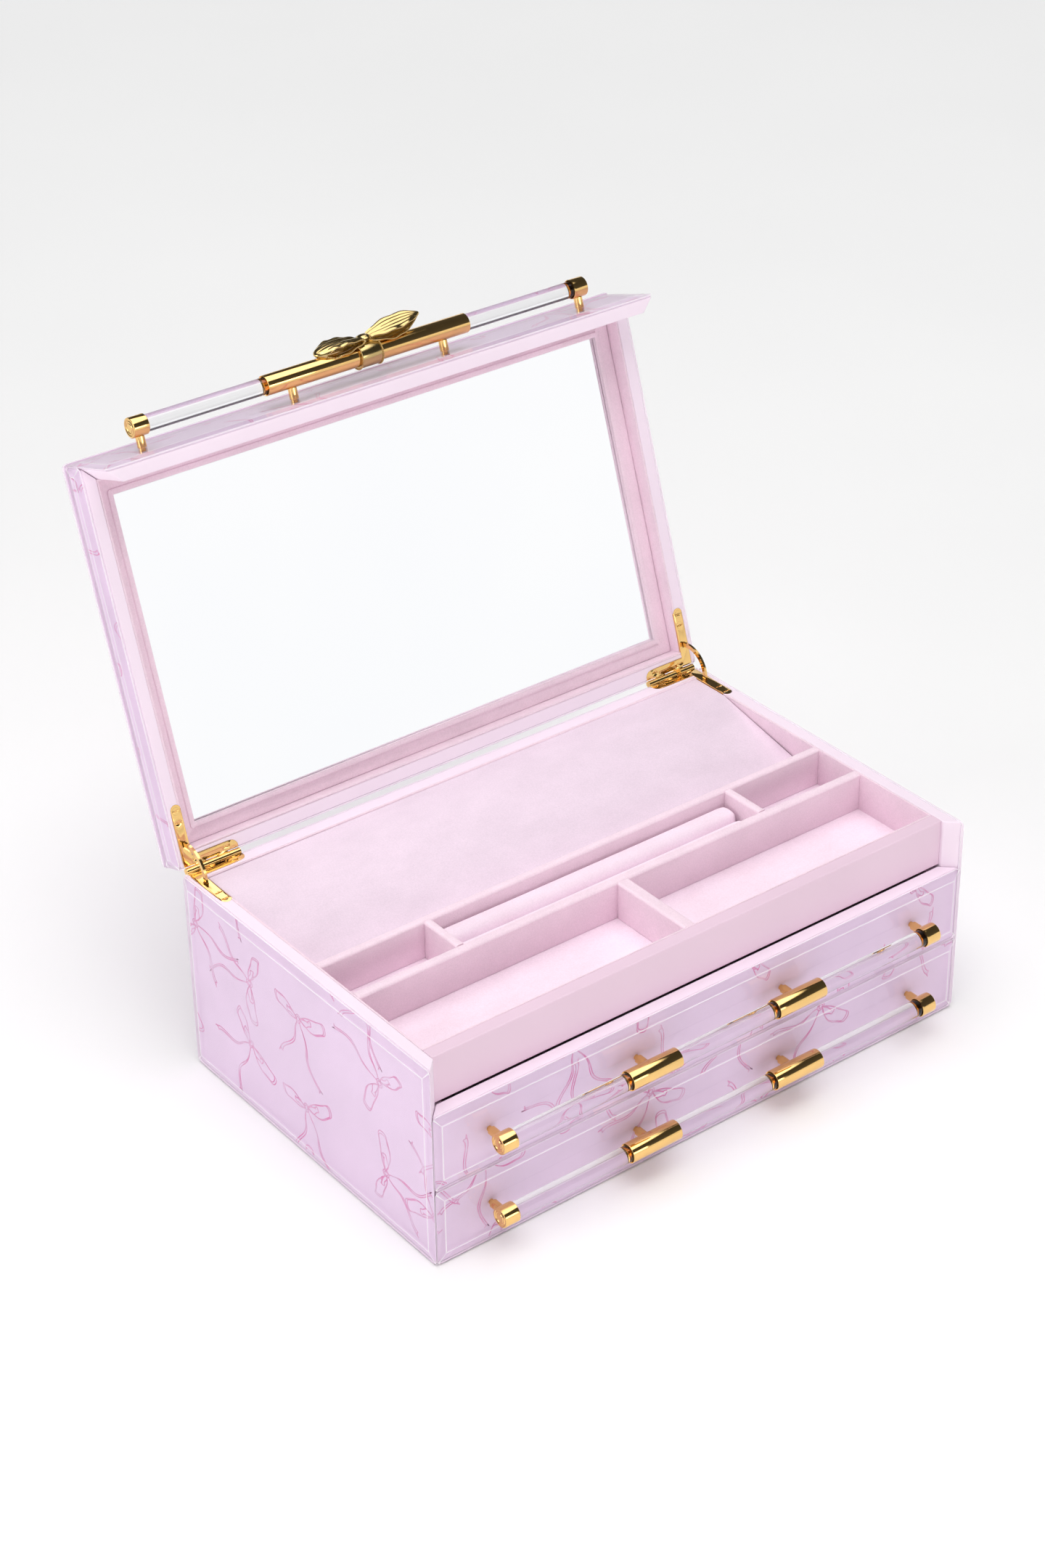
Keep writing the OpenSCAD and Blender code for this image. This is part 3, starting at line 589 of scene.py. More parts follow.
def material(key):
    """Each material is made once, from the scene's settings."""
    if key not in MATERIALS:
        scene = bpy.context.scene
        makers = {
            "board": lambda: painted_board("painted board", scene.jb_board.colour),
            # darker paint for the inner front wall: its own pink plus painted shade
            "recess board": lambda: painted_board("recess board", scene.jb_board.inner_wall_shaded_colour),
            "suede": lambda: suede("suede", scene.jb_suede.colour),
            "floor suede": lambda: suede("smooth suede", toned(scene.jb_suede.colour, 1.06), 0.4),
            "felt": lambda: suede("underside felt", (0.86, 0.80, 0.84), 0.8),
            "gold": lambda: gold("polished gold", scene.jb_gold.colour),
            "cast gold": lambda: gold("cast gold", scene.jb_gold.bow_colour, 0.10, 0.22),
            "glass": lambda: thin_glass(scene.jb_glass.tint),
            "ground glass": ground_glass,
            "glass edge": glass_edge_painted_pink,
            "lilac suede": lambda: suede("lilac suede", scene.jb_suede.panel, 0.35),
            "acrylic": lambda: acrylic((0.985, 0.98, 0.99)),
            "mirror": silvered,
            "sheet": lambda: paper(scene.jb_print.sheet),
            "ink": lambda: ink(scene.jb_print.line, scene.jb_print.sheet),
        }
        MATERIALS[key] = makers[key]()
    return MATERIALS[key]


def piece(mesh, name, key, body, replaced=(), trim=()):
    materials = [material(k) for k in (key, *trim)]
    return link(mesh, name, materials, body, replaced)


def refinish(node, key):
    """Gives a CAD node that stays its procedural material."""
    data = NODES[node].data
    if not data.materials:
        data.materials.append(None)
    for i in range(len(data.materials)):
        data.materials[i] = material(key)


# ---- glass faces ----


class Face:
    """One glass face: where it is, how large it is and what it replaces."""

    def __init__(self, name, body, node, centre, across, up, size, mitred=True, lid=False):
        self.name, self.body, self.node, self.size, self.mitred = name, body, node, size, mitred
        out = across.cross(up)
        place = Matrix.Translation(centre) @ Matrix((across, up, out)).transposed().to_4x4()
        self.place = OPEN_LID @ place if lid else place


X, Y, Z = Vector((1, 0, 0)), Vector((0, 1, 0)), Vector((0, 0, 1))


def upright_faces(name, body, node, z0, z1, sides, lid=False):
    """Faces of a ring of upright panes; sides names which."""
    middle = (z0 + z1) / 2
    table = {
        "left": (Vector((-HALF_W, 0, middle)), -Y, 2 * HALF_D),
        "right": (Vector((HALF_W, 0, middle)), Y, 2 * HALF_D),
        "back": (Vector((0, HALF_D, middle)), -X, 2 * HALF_W),
    }
    faces = []
    for side in sides:
        centre, across, width = table[side]
        faces.append(Face(f"{name}_{side}", body, node, centre, across, Z, (width, z1 - z0), lid=lid))
    return faces


def all_faces():
    faces = upright_faces("case", "case", "side_panes", SIDES_LOW.z, RIM_Z, ("left", "right"))
    faces += upright_faces("case", "case", "back_pane", SIDES_LOW.z, RIM_Z, ("back",))
    low, high = shut_box("lid_side_panes")
    faces += upright_faces("lid", "lid", "lid_side_panes", low.z, high.z, ("left", "right"), True)
    faces += upright_faces("lid", "lid", "lid_back_pane", low.z, high.z, ("back",), True)
    low, high = shut_box("lid_top_pane")
    faces.append(Face("lid_top", "lid", "lid_top_pane", Vector((0, 0, high.z)), X, Y,
                      (2 * HALF_W, 2 * HALF_D), False, True))
    low, high = shut_box("apron_pane")
    faces.append(Face("apron_front", "lid", "apron_pane", Vector((0, -HALF_D, (low.z + high.z) / 2)),
                      X, Z, (high.x - low.x + 2 * bpy.context.scene.jb_glass.bevel_depth,
                             high.z - low.z), True, True))
    for drawer in ("upper", "lower"):
        low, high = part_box(f"{drawer}_drawer_pane")
        faces.append(Face(f"{drawer}_drawer", f"{drawer}_drawer", f"{drawer}_drawer_pane",
                          Vector((0, -HALF_D, (low.z + high.z) / 2)), X, Z,
                          (high.x - low.x + 2 * bpy.context.scene.jb_glass.bevel_depth,
                           high.z - low.z)))
    return faces


def pane_mesh(face, glass):
    """Bevelled pane; its ground lines carry the second material and its edges the third."""
    half_a, half_b = face.size[0] / 2, face.size[1] / 2
    thick = GLASS_T * glass.share
    deep, wide, corner = glass.bevel_depth, glass.bevel, glass.corner
    eased, line = 0.15 * MM, glass.ground_line / 2
    steps = 5

    def ring(depth, inset, radius):
        end = depth if face.mitred else 0.0
        return rounded_ring(half_a - end - inset, half_b - inset, radius, -depth, steps)

    slope = deep / wide
    flat = corner * 0.2
    rings = [ring(thick, eased, corner), ring(thick - eased, 0, corner),
             ring(deep + eased, 0, corner), ring(deep, eased, corner),
             rounded_ring(half_a - wide + line, half_b - wide + line, flat, -slope * line, steps),
             rounded_ring(half_a - wide - line, half_b - wide - line, flat, 0, steps)]
    mesh = lofted(rings, f"{face.name}_glass")
    count = 4 * (steps + 1)
    for polygon in mesh.polygons:
        row, step = divmod(polygon.index, count)
        mitre = row == 3 and step % (steps + 1) == steps // 2
        if polygon.index < 5 * count and (row in (2, 4) or mitre):
            polygon.material_index = 1
        # the edge rings get the third material, whose pink is painted light from the sheet
        elif polygon.index < 5 * count and row in (0, 1):
            polygon.material_index = 2
    mesh.transform(face.place)
    return mesh


def sheet_mesh(face, glass):
    half_a, half_b = face.size[0] / 2, face.size[1] / 2
    front = GLASS_T * (glass.share + 0.05)
    back = GLASS_T - 0.01 * MM
    end = GLASS_T if face.mitred else 0.4 * MM
    edge = 0.3 * MM
    rings = [rounded_ring(half_a - end, half_b - edge, glass.corner, -back),
             rounded_ring(half_a - end, half_b - edge, glass.corner, -front)]
    mesh = lofted(rings, f"{face.name}_sheet")
    mesh.transform(face.place)
    return mesh


def hinge_notches(name):
    """Boxes round the leaves and knuckles where they cross the back panes."""
    if not name.endswith("back"):
        return []
    boxes = []
    room = Vector((0.3, 1.0, 0.4)) * MM
    lid_leaf = Z * 3 * MM
    for side in ("left", "right"):
        low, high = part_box(f"{side}_base_leaf")
        boxes.append((low - room, high + room + lid_leaf))
    return boxes


# ---- operators ----


class JB_OT_stage(bpy.types.Operator):
    """Make the camera, the lights, the surroundings and the floor"""

    bl_idname = "jb.stage"
    bl_label = "Stage"

    def execute(self, context):
        stage = context.scene.jb_stage
        self.camera(context, stage)
        self.surroundings(context)
        self.lamps(context)
        self.floor()
        context.scene.view_settings.view_transform = "Standard"
        return {"FINISHED"}

    def camera(self, context, stage):
        data = bpy.data.cameras.new("camera")
        data.sensor_width = 36
        data.lens = stage.lens
        data.clip_end = 50
        thing = bpy.data.objects.new("camera", data)
        turn = Matrix.Rotation(-stage.camera_turn, 4, "Z")
        drop = Matrix.Rotation(math.pi / 2 - stage.camera_drop, 4, "X")
        roll = Matrix.Rotation(stage.camera_roll, 4, "Z")
        thing.matrix_world = Matrix.Translation(stage.camera_place) @ turn @ drop @ roll
        context.scene.collection.objects.link(thing)
        context.scene.camera = thing

    def surroundings(self, context):
        """White near the horizon, a darker belt above it and a bright ceiling."""
        world = bpy.data.worlds.new("surroundings")
        context.scene.world = world
        world.use_nodes = True
        tree = world.node_tree
        back = tree.nodes["Background"]
        place = add(tree, "ShaderNodeTexCoord")
        split = add(tree, "ShaderNodeSeparateXYZ")
        ramp = add(tree, "ShaderNodeValToRGB")
        tree.links.new(place.outputs["Generated"], split.inputs["Vector"])
        tree.links.new(split.outputs["Z"], ramp.inputs["Fac"])
        stops = [(0.0, 1.0), (0.13, 1.0), (0.25, 0.08), (0.79, 0.05), (0.86, 2.3), (1.0, 2.3)]
        elements = ramp.color_ramp.elements
        while len(elements) < len(stops):
            elements.new(0.5)
        for element, (position, value) in zip(elements, stops):
            element.position = position
            element.color = (value, value, value, 1)
        tree.links.new(ramp.outputs["Color"], back.inputs["Color"])
        back.inputs["Strength"].default_value = 1.0

    def lamps(self, context):
        table = [
            ("key", (-0.7, -0.9, 2.2), 1.4, 1.4, 10, (1, 0.985, 0.97)),
            ("left", (-1.9, 0.1, 0.7), 1.0, 1.0, 9, (1, 0.99, 0.99)),
            ("front", (0.2, -2.0, 0.6), 1.2, 0.5, 5.5, (1, 0.99, 0.98)),
        ]
        for name, place, width, height, watts, colour in table:
            data = bpy.data.lights.new(name, "AREA")
            data.shape = "RECTANGLE"
            data.size, data.size_y = width, height
            data.energy = watts
            data.color = colour
            thing = bpy.data.objects.new(name, data)
            aim = Vector((0, 0, 0.12)) - Vector(place)
            thing.matrix_world = (Matrix.Translation(place)
                                  @ aim.to_track_quat("-Z", "Y").to_matrix().to_4x4())
            context.scene.collection.objects.link(thing)

    def floor(self):
        pale = new_material("pale floor", (3, 2), ((0.965,) * 3, (0.98,) * 3),
                            {"Roughness": 0.9})[0]
        rings = [rounded_ring(8, 8, 2, -0.02), rounded_ring(8, 8, 2, 0.0)]
        mesh = lofted(rings, "floor")
        mesh.transform(Matrix.Translation((0, 0, CAD_BOX[0][2] - 0.0002)))
        mesh.materials.append(pale)
        loose_object(mesh)


class JB_OT_boards(bpy.types.Operator):
    """Round and paint the boards of the case, the lid and the drawers"""

    bl_idname = "jb.boards"
    bl_label = "Boards"

    def execute(self, context):
        radius = context.scene.jb_board.round_edge
        bodies = {
            "case": ("left_wall", "right_wall", "back_wall", "inner_front_wall"),
            "lid": ("lid_left_rim", "lid_right_rim", "lid_back_rim", "lid_apron"),
            "upper_drawer": ("upper_drawer_front", "upper_drawer_box"),
            "lower_drawer": ("lower_drawer_front", "lower_drawer_box"),
        }
        for body, nodes in bodies.items():
            for node in nodes:
                mesh = softened(node, radius, shortest=9 * MM, faceted=True)
                # the inner front wall takes the darker board colour, which holds painted shade
                key = "recess board" if node == "inner_front_wall" else "board"
                piece(mesh, f"{node}_painted", key, body, (node,))
        for node in ("floor_board", "drawer_shelf", "tray_board", "drawer_stops", "lid_top_board"):
            refinish(node, "board")
        refinish("base_felt", "felt")
        return {"FINISHED"}


class JB_OT_glass(bpy.types.Operator):
    """Make the bevelled panes and the printed sheets behind them"""

    bl_idname = "jb.glass"
    bl_label = "Bevelled glass"

    def execute(self, context):
        glass = context.scene.jb_glass
        panes, sheets, bodies = {}, {}, {}
        for face in all_faces():
            pane, sheet = pane_mesh(face, glass), sheet_mesh(face, glass)
            for key in ("glass", "ground glass", "glass edge"):
                pane.materials.append(material(key))
            boxes = hinge_notches(face.name)
            if boxes:
                pane, sheet = notched(pane, boxes), notched(sheet, boxes)
            panes.setdefault(face.node, []).append(pane)
            sheets.setdefault(face.body, []).append(sheet)
            bodies[face.node] = face.body
        for node, meshes in panes.items():
            mesh = joined(meshes, node)
            smooth(mesh, 3)
            piece(mesh, f"{node}_glass", "glass", bodies[node], (node,),
                  ("ground glass", "glass edge"))
        for body, meshes in sheets.items():
            piece(joined(meshes, body), f"{body}_printed_sheets", "sheet", body)
        return {"FINISHED"}


class JB_OT_print(bpy.types.Operator):
    """Strew drawn bows over the printed sheets"""

    bl_idname = "jb.print"
    bl_label = "Bow print"

    STRAY = 12 * MM  # how far a bow strays from its place in the grid
    LAYERS = 0.02 * MM  # how far a stroke lies above or below the others
    STEP = 0.9 * MM  # length of a stroke's straight parts
    INK_DEPTH = 0.03 * MM
    MARGIN = 1.2 * MM  # bare height left at a face's top and bottom together
    BEHIND = 0.035  # share of the pane's depth between the glass and the ink

    def execute(self, context):
        settings = context.scene.jb_print
        drawing = self.drawing()
        tree = self.scatter_tree()
        lines = {}
        for number, face in enumerate(all_faces()):
            thing = loose_object(bpy.data.meshes.new("strewn"))
            mesh = grown(thing, tree, {
                "Drawing": drawing, "Width": face.size[0] - 2 * GLASS_T,
                "Height": face.size[1] - self.MARGIN, "Spacing": settings.spacing,
                "Line": settings.width, "Seed": settings.seed + number,
                "Ink": material("ink"),
            })
            depth = GLASS_T * (context.scene.jb_glass.share + self.BEHIND)
            mesh.transform(face.place @ Matrix.Translation((0, 0, -depth)))
            lines.setdefault(face.body, []).append(mesh)
        bpy.data.objects.remove(drawing)
        for body, meshes in lines.items():
            piece(joined(meshes, body), f"{body}_drawn_bows", "ink", body)
        return {"FINISHED"}

    def drawing(self):
        """One bow in outline: two loops, a knot and two wavering tails, each drawn twice."""
        strokes = [self.knot(1.0), self.knot(0.55)]
        for side in (-1, 1):
            strokes += [self.loop(side, 1.0), self.loop(side, 0.93), self.loop(side, 0.45),
                        self.tail(side, 0.0), self.tail(side, 2.2), self.crease(side)]
        return drawn([[(x * MM, y * MM, 0) for x, y in points] for points in strokes], "bow drawing")

    def loop(self, side, size, count=44):
        """Teardrop loop that starts and ends at the knot; one side is larger than the other."""
        length = (23 if side > 0 else 19) * size
        height = (8 if side > 0 else 6.5) * size
        points = []
        for i in range(count + 1):
            t = math.pi * i / count
            reach = length * math.sin(t) ** 0.85
            lift = height * math.cos(t) * math.sin(t) ** 0.7 + 5.5 * math.sin(t) * size
            points.append((side * (1.2 + reach), lift + 0.7 * math.sin(6 * t + side)))
        return points

    def knot(self, size, count=18):
        return [(2.0 * size * math.cos(2 * math.pi * i / count),
                 2.6 * size * math.sin(2 * math.pi * i / count)) for i in range(count + 1)]

    def crease(self, side, count=10):
        """Short fold line that runs from the knot into the loop."""
        return [(side * (1.5 + 8 * i / count), 0.5 + 2.2 * math.sin(1.8 * i / count))
                for i in range(count + 1)]

    def tail(self, side, shift, count=48):
        """Tail that sways and ends in a folded tip."""
        points = []
        for i in range(count + 1):
            t = i / count
            sway = 5 * math.sin(6.2 * t + 0.8 * side) * t
            points.append((side * (1 + 13 * t) + sway + shift * t,
                           -2 - (34 if side > 0 else 27) * t - shift * t * (1 - t)))
        if shift:
            x, y = points[-1]
            points += [(x - 2.2, y + 1.4), (x - 3.4, y - 0.8)]
        return points

    def scatter_tree(self):
        graph = Graph("Strewn bows", {"Drawing": "Object", "Width": "Float", "Height": "Float",
                                      "Spacing": "Float", "Line": "Float", "Seed": "Int",
                                      "Ink": "Material"})
        given, node = graph.given, graph.node
        # a loose grid of places, wider than the face by half a bow
        sizes = {}
        for name, axis in (("Width", "X"), ("Height", "Y")):
            number = graph.math("CEIL", graph.math("DIVIDE", given[name], given["Spacing"]))
            sizes[f"Size {axis}"] = graph.math("MULTIPLY", number, given["Spacing"])
            sizes[f"Vertices {axis}"] = graph.math("ADD", number, 1)
        grid = node("GeometryNodeMeshGrid", sizes)
        stray = self.STRAY
        shake = node("FunctionNodeRandomValue", {"Min": (-stray, -stray, 0), "Seed": given["Seed"],
                                                 "Max": (stray, stray, 0)}, data_type="FLOAT_VECTOR")
        moved = node("GeometryNodeSetPosition", {"Geometry": grid.outputs["Mesh"],
                                                 "Offset": shake.outputs["Value"]})
        another_seed = graph.math("ADD", given["Seed"], 31)
        turn = node("FunctionNodeRandomValue", {"Max": (0, 0, 2 * math.pi), "Seed": another_seed},
                    data_type="FLOAT_VECTOR")
        drawing = node("GeometryNodeObjectInfo", {"Object": given["Drawing"]})
        strewn = node("GeometryNodeInstanceOnPoints", {"Points": moved.outputs["Geometry"],
                                                       "Instance": drawing.outputs["Geometry"],
                                                       "Rotation": turn.outputs["Value"]})
        whole = node("GeometryNodeRealizeInstances", {"Geometry": strewn.outputs["Instances"]})
        # each stroke lies at a height of its own, so that crossing strokes never share a plane
        height = node("FunctionNodeRandomValue", {2: -self.LAYERS, 3: self.LAYERS},
                      data_type="FLOAT")
        per_stroke = node("GeometryNodeFieldOnDomain", {0: height.outputs[1]}, data_type="FLOAT",
                          domain="CURVE")
        lift = node("ShaderNodeCombineXYZ", {"Z": per_stroke.outputs[0]})
        layered = node("GeometryNodeSetPosition", {"Geometry": whole.outputs["Geometry"],
                                                   "Offset": lift.outputs["Vector"]})
        even = node("GeometryNodeResampleCurve", {"Curve": layered.outputs["Geometry"],
                                                  "Length": self.STEP}, mode="LENGTH")
        # strokes as edges, so that what lies past the face's edge can be dropped
        edges = node("GeometryNodeCurveToMesh", {"Curve": even.outputs["Curve"]})
        where = node("GeometryNodeInputPosition", {})
        split = node("ShaderNodeSeparateXYZ", {"Vector": where.outputs["Position"]})
        past = []
        for axis, name in (("X", "Width"), ("Y", "Height")):
            away = graph.math("ABSOLUTE", split.outputs[axis])
            past.append(graph.math("GREATER_THAN", away, graph.math("MULTIPLY", given[name], 0.5)))
        trimmed = node("GeometryNodeDeleteGeometry", {"Geometry": edges.outputs["Mesh"],
                                                      "Selection": graph.math("MAXIMUM", *past)},
                       domain="POINT")
        strokes = node("GeometryNodeMeshToCurve", {"Mesh": trimmed.outputs["Geometry"]})
        upright = node("GeometryNodeSetCurveNormal", {"Curve": strokes.outputs["Curve"]},
                       mode="Z_UP")
        wobble = node("ShaderNodeTexNoise", {"Scale": 120})
        pressed = graph.math("ADD", graph.math("MULTIPLY", wobble.outputs[0], 1.5), 0.25)
        radius = node("GeometryNodeSetCurveRadius", {"Curve": upright.outputs["Curve"],
                                                     "Radius": pressed})
        nib = node("GeometryNodeCurvePrimitiveQuadrilateral", {"Width": given["Line"],
                                                               "Height": self.INK_DEPTH})
        inked = node("GeometryNodeCurveToMesh", {"Fill Caps": True, "Curve": radius.outputs["Curve"],
                                                 "Profile Curve": nib.outputs["Curve"]})
        return graph.finished(inked.outputs["Mesh"], given["Ink"])


class JB_OT_suede(bpy.types.Operator):
    """Cover the tray, its dividers, the drawers and the mirror's frame in suede"""

    bl_idname = "jb.suede"
    bl_label = "Suede"

    def execute(self, context):
        radius = context.scene.jb_suede.round_edge
        for body, nodes in {
            "case": ("tray_wall_lining", "front_divider", "rear_divider", "front_cross_divider",
                     "middle_cross_dividers"),
            "lid": ("lid_lining", "mirror_frame"),
            "upper_drawer": ("upper_drawer_lining",),
            "lower_drawer": ("lower_drawer_lining",),
        }.items():
            for node in nodes:
                mesh = softened(node, radius, 3, 4 * MM, 40)
                piece(mesh, f"{node}_covered", "suede", body, (node,))
        mesh = softened("rear_panel", radius, 3, 4 * MM, 40)
        piece(mesh, "rear_panel_covered", "lilac suede", "case", ("rear_panel",))
        refinish("tray_floor_lining", "floor suede")
        return {"FINISHED"}


class JB_OT_ring_roll(bpy.types.Operator):
    """Stuff the ring roll"""

    bl_idname = "jb.ring_roll"
    bl_label = "Ring roll"

    INSET = 0.25 * MM  # room left between a roll and its neighbours
    VOXEL = 2.2 * MM
    PRESSURE = 4
    FRAMES = 20
    SWELL = 0.9 * MM  # the farthest that stuffing moves a point
    KEEP_IN = 0.05 * MM  # how far inside its space a roll stays

    def execute(self, context):
        low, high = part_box("ring_roll")
        middle = (low.y + high.y) / 2
        rolls = []
        for start, end, fullness in ((low.y, middle, 0.86), (middle, high.y, 1.0)):
            corner = Vector((low.x, start, low.z))
            far = Vector((high.x, end, low.z + (high.z - low.z) * fullness))
            roll = self.shell(corner, far - corner)
            roll = self.stuffed(roll, corner, far)
            rolls.append(roll)
        mesh = joined(rolls, "ring_roll")
        smooth(mesh, 60)
        roll = piece(mesh, "ring_roll_padded", "floor suede", "case", ("ring_roll",))
        return {"FINISHED"}

    def shell(self, low, size, along=120, around=36):
        """Half-round roll with square ends, fuller at its back, a little inside its own space."""
        half = size.x / 2 - self.INSET
        middle_y = low.y + size.y / 2
        rings = []
        for i in range(along + 1):
            x = -half * math.cos(math.pi * i / along)
            full = math.sqrt(max(0.0, 1 - (abs(x) / half) ** 90)) * 0.94 + 0.06
            ring = []
            for k in range(around):
                angle = 2 * math.pi * k / around
                c, s = math.cos(angle), math.sin(angle)
                y = (size.y / 2 - self.INSET) * full
                y *= math.copysign(abs(c) ** (0.35 if c > 0 else 0.6), c)
                z = size.z / 2 * math.copysign(abs(s) ** (0.75 if s > 0 else 0.4), s)
                ring.append(Vector((x, middle_y + y, low.z + size.z / 2 + z * full * 0.96)))
            rings.append(ring)
        return lofted(rings, "ring_roll")

    def stuffed(self, mesh, low, high):
        """Cloth blown up a little, then held inside the roll's space."""
        thing = loose_object(mesh)
        remesh = thing.modifiers.new("Even", "REMESH")
        remesh.mode = "VOXEL"
        remesh.voxel_size = self.VOXEL
        thing = loose_object(evaluated(thing, "ring_roll"))
        before = [v.co.copy() for v in thing.data.vertices]
        cloth = thing.modifiers.new("Cloth", "CLOTH")
        cloth.settings.use_pressure = True
        cloth.settings.uniform_pressure_force = self.PRESSURE
        cloth.settings.effector_weights.gravity = 0
        cloth.settings.quality = 5
        scene = bpy.context.scene
        for number in range(1, self.FRAMES + 1):
            scene.frame_set(number)
        mesh = evaluated(thing, "ring_roll")
        scene.frame_set(1)
        for vertex, start in zip(mesh.vertices, before):
            move = vertex.co - start
            if move.length > self.SWELL:
                move = move.normalized() * self.SWELL
            place = start + move
            vertex.co = [min(max(place[i], low[i] + self.KEEP_IN), high[i] - self.KEEP_IN)
                         for i in range(3)]
        finer = loose_object(mesh)
        rounding = finer.modifiers.new("Finer", "SUBSURF")
        rounding.levels = rounding.render_levels = 1
        return evaluated(finer, "ring_roll")


class JB_OT_mirror(bpy.types.Operator):
    """Silver the mirror"""

    bl_idname = "jb.mirror"
    bl_label = "Mirror"

    def execute(self, context):
        refinish("mirror_plate", "mirror")
        return {"FINISHED"}


class JB_OT_hinges(bpy.types.Operator):
    """Round and plate the hinges, their stays, pins and screws"""

    bl_idname = "jb.hinges"
    bl_label = "Hinges"

    def execute(self, context):
        bodies = {
            "left_base_leaf": "case", "right_base_leaf": "case", "base_leaf_screws": "case",
            "hinge_pins": "case", "left_lid_leaf": "lid", "right_lid_leaf": "lid",
            "lid_leaf_screws": "lid", "left_stay": "left_stay_body", "right_stay": "right_stay_body",
        }
        for node, body in bodies.items():
            mesh = softened(node, 0.16 * MM, 2, 0.9 * MM, 40)
            piece(mesh, f"{node}_plated", "gold", body, (node,))
        return {"FINISHED"}


class JB_OT_handles(bpy.types.Operator):
    """Make the clear rods, their caps, sleeves and posts"""

    bl_idname = "jb.handles"
    bl_label = "Handles"

    PLAY = 0.06 * MM  # room between a sleeve or cap and its rod
    MOUTH = 1.1 * MM  # depth of the countersunk mouth
    LIP = 0.2 * MM  # depth of the step at the mouth's rim
    FLARE = 0.35 * MM  # how much wider the mouth is there
    FLOOR = 1.6 * MM  # thickness of a cap's end
    AXIS = 0.02 * MM  # radius of the pinhole left on the axis of a turned face
    POST, POST_EDGE = 2.4 * MM, 0.15 * MM
    BOLT, BOLT_HEAD, BOLT_HEAD_DEEP, BOLT_LONG = 1.5 * MM, 3.5 * MM, 2.2 * MM, 9.4 * MM
    BOLT_EDGE = 0.3 * MM
    SHORT_OF_ROD = 0.6 * MM  # how far a post ends from the rod's surface

    def execute(self, context):
        for prefix, body in (("upper", "upper_drawer"), ("lower", "lower_drawer")):
            rod_low, rod_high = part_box(f"{prefix}_rod")
            centre = (rod_low + rod_high) / 2
            place = Matrix.Translation(centre)
            fit_low, fit_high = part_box(f"{prefix}_fittings")
            self.rod(place, rod_high - rod_low, f"{prefix}_rod", body)
            radii = ((fit_high.z - fit_low.z) / 2, (rod_high.z - rod_low.z) / 2)
            collar_span, cap_span = self.spans(f"{prefix}_fittings")
            meshes = []
            for side in (-1, 1):
                meshes.append(self.cap(side, cap_span, radii))
                collar = self.sleeve(collar_span[1] - collar_span[0], radii)
                collar.transform(Matrix.Translation((side * sum(collar_span) / 2, 0, 0)))
                meshes.append(collar)
            mesh = joined(meshes, "fittings")
            mesh.transform(place)
            smooth(mesh, 40)
            piece(mesh, f"{prefix}_fittings_turned", "gold", body, (f"{prefix}_fittings",))
            self.posts(place, -HALF_D - centre.y, f"{prefix}_posts", body, radii[1])
        rod_low, rod_high = shut_box("lid_rod")
        centre = (rod_low + rod_high) / 2
        place = OPEN_LID @ Matrix.Translation(centre)
        self.rod(place, rod_high - rod_low, "lid_rod", "lid")
        sleeve_low, sleeve_high = shut_box("lid_sleeve")
        radii = ((sleeve_high.z - sleeve_low.z) / 2, (rod_high.z - rod_low.z) / 2)
        right = [v.co.x for v in NODES["lid_end_caps"].data.vertices if v.co.x > 0]
        cap_span = (min(right), max(right))
        caps = [self.cap(side, cap_span, radii) for side in (-1, 1)]
        sleeve = self.sleeve(sleeve_high.x - sleeve_low.x, radii)
        for meshes, node in ((caps, "lid_end_caps"), ([sleeve], "lid_sleeve")):
            mesh = joined(meshes, node)
            mesh.transform(place)
            smooth(mesh, 40)
            piece(mesh, f"{node}_turned", "gold", "lid", (node,))
        self.posts(place, -HALF_D - centre.y, "lid_posts", "lid", radii[1])
        return {"FINISHED"}

    def spans(self, node):
        """Start and end along X of the node's two separate pieces on the right-hand side."""
        xs = sorted({round(v.co.x, 5) for v in NODES[node].data.vertices if v.co.x > 0})
        gap = max(range(len(xs) - 1), key=lambda i: xs[i + 1] - xs[i])
        return (xs[0], xs[gap]), (xs[gap + 1], xs[-1])

    def rod(self, place, size, node, body):
        half, radius, ease = size.x / 2, size.z / 2, 0.3 * MM
        mesh = turned([(-half, radius - ease), (-half + ease, radius), (half - ease, radius),
                       (half, radius - ease)], node, 96)
        mesh.transform(place)
        smooth(mesh, 30)
        piece(mesh, f"{node}_polished", "acrylic", body, (node,))

    def sleeve(self, length, radii):
        """Tube round the rod with a countersunk mouth at each end; radii are its own and the rod's."""
        half, outer, inner, ease = length / 2, radii[0], radii[1] + self.PLAY, 0.25 * MM
        profile = [(-half + self.MOUTH, inner), (half - self.MOUTH, inner),
                   (half - self.LIP, inner + self.FLARE)]
        profile += rounded_corner(half - ease, outer - ease, ease, 0)
        profile += rounded_corner(-half + ease, outer - ease, ease, 90)
        profile += [(-half + self.LIP, inner + self.FLARE)]
        return turned(profile, "sleeve", 80, closed=True)

    def cap(self, side, span, radii):
        """End cap with two engraved rings on its face; span is its start and end along X."""
        outer, inner, ease = radii[0], radii[1] + self.PLAY, 0.4 * MM
        long, reach = span[1] - span[0], span[1]
        engraved = ((0.0, 2.2), (0.22, 2.45), (0.22, 2.75), (0.0, 3.0), (0.0, 3.55), (0.28, 3.8),
                    (0.28, 4.1), (0.0, 4.35))
        profile = [(0.0, self.AXIS)]
        profile += [(deep * MM, radius * MM) for deep, radius in engraved]
        profile += reversed(rounded_corner(ease, outer - ease, ease, 90))
        profile += [(long - ease, outer), (long, outer - ease), (long - self.LIP, inner + self.FLARE),
                    (long - self.MOUTH, inner), (self.FLOOR, inner), (self.FLOOR, self.AXIS)]
        mesh = turned(profile, "cap", 80)
        mesh.transform(Matrix.Translation((side * reach, 0, 0))
                       @ Matrix.Rotation(0 if side < 0 else math.pi, 4, "Z"))
        return mesh

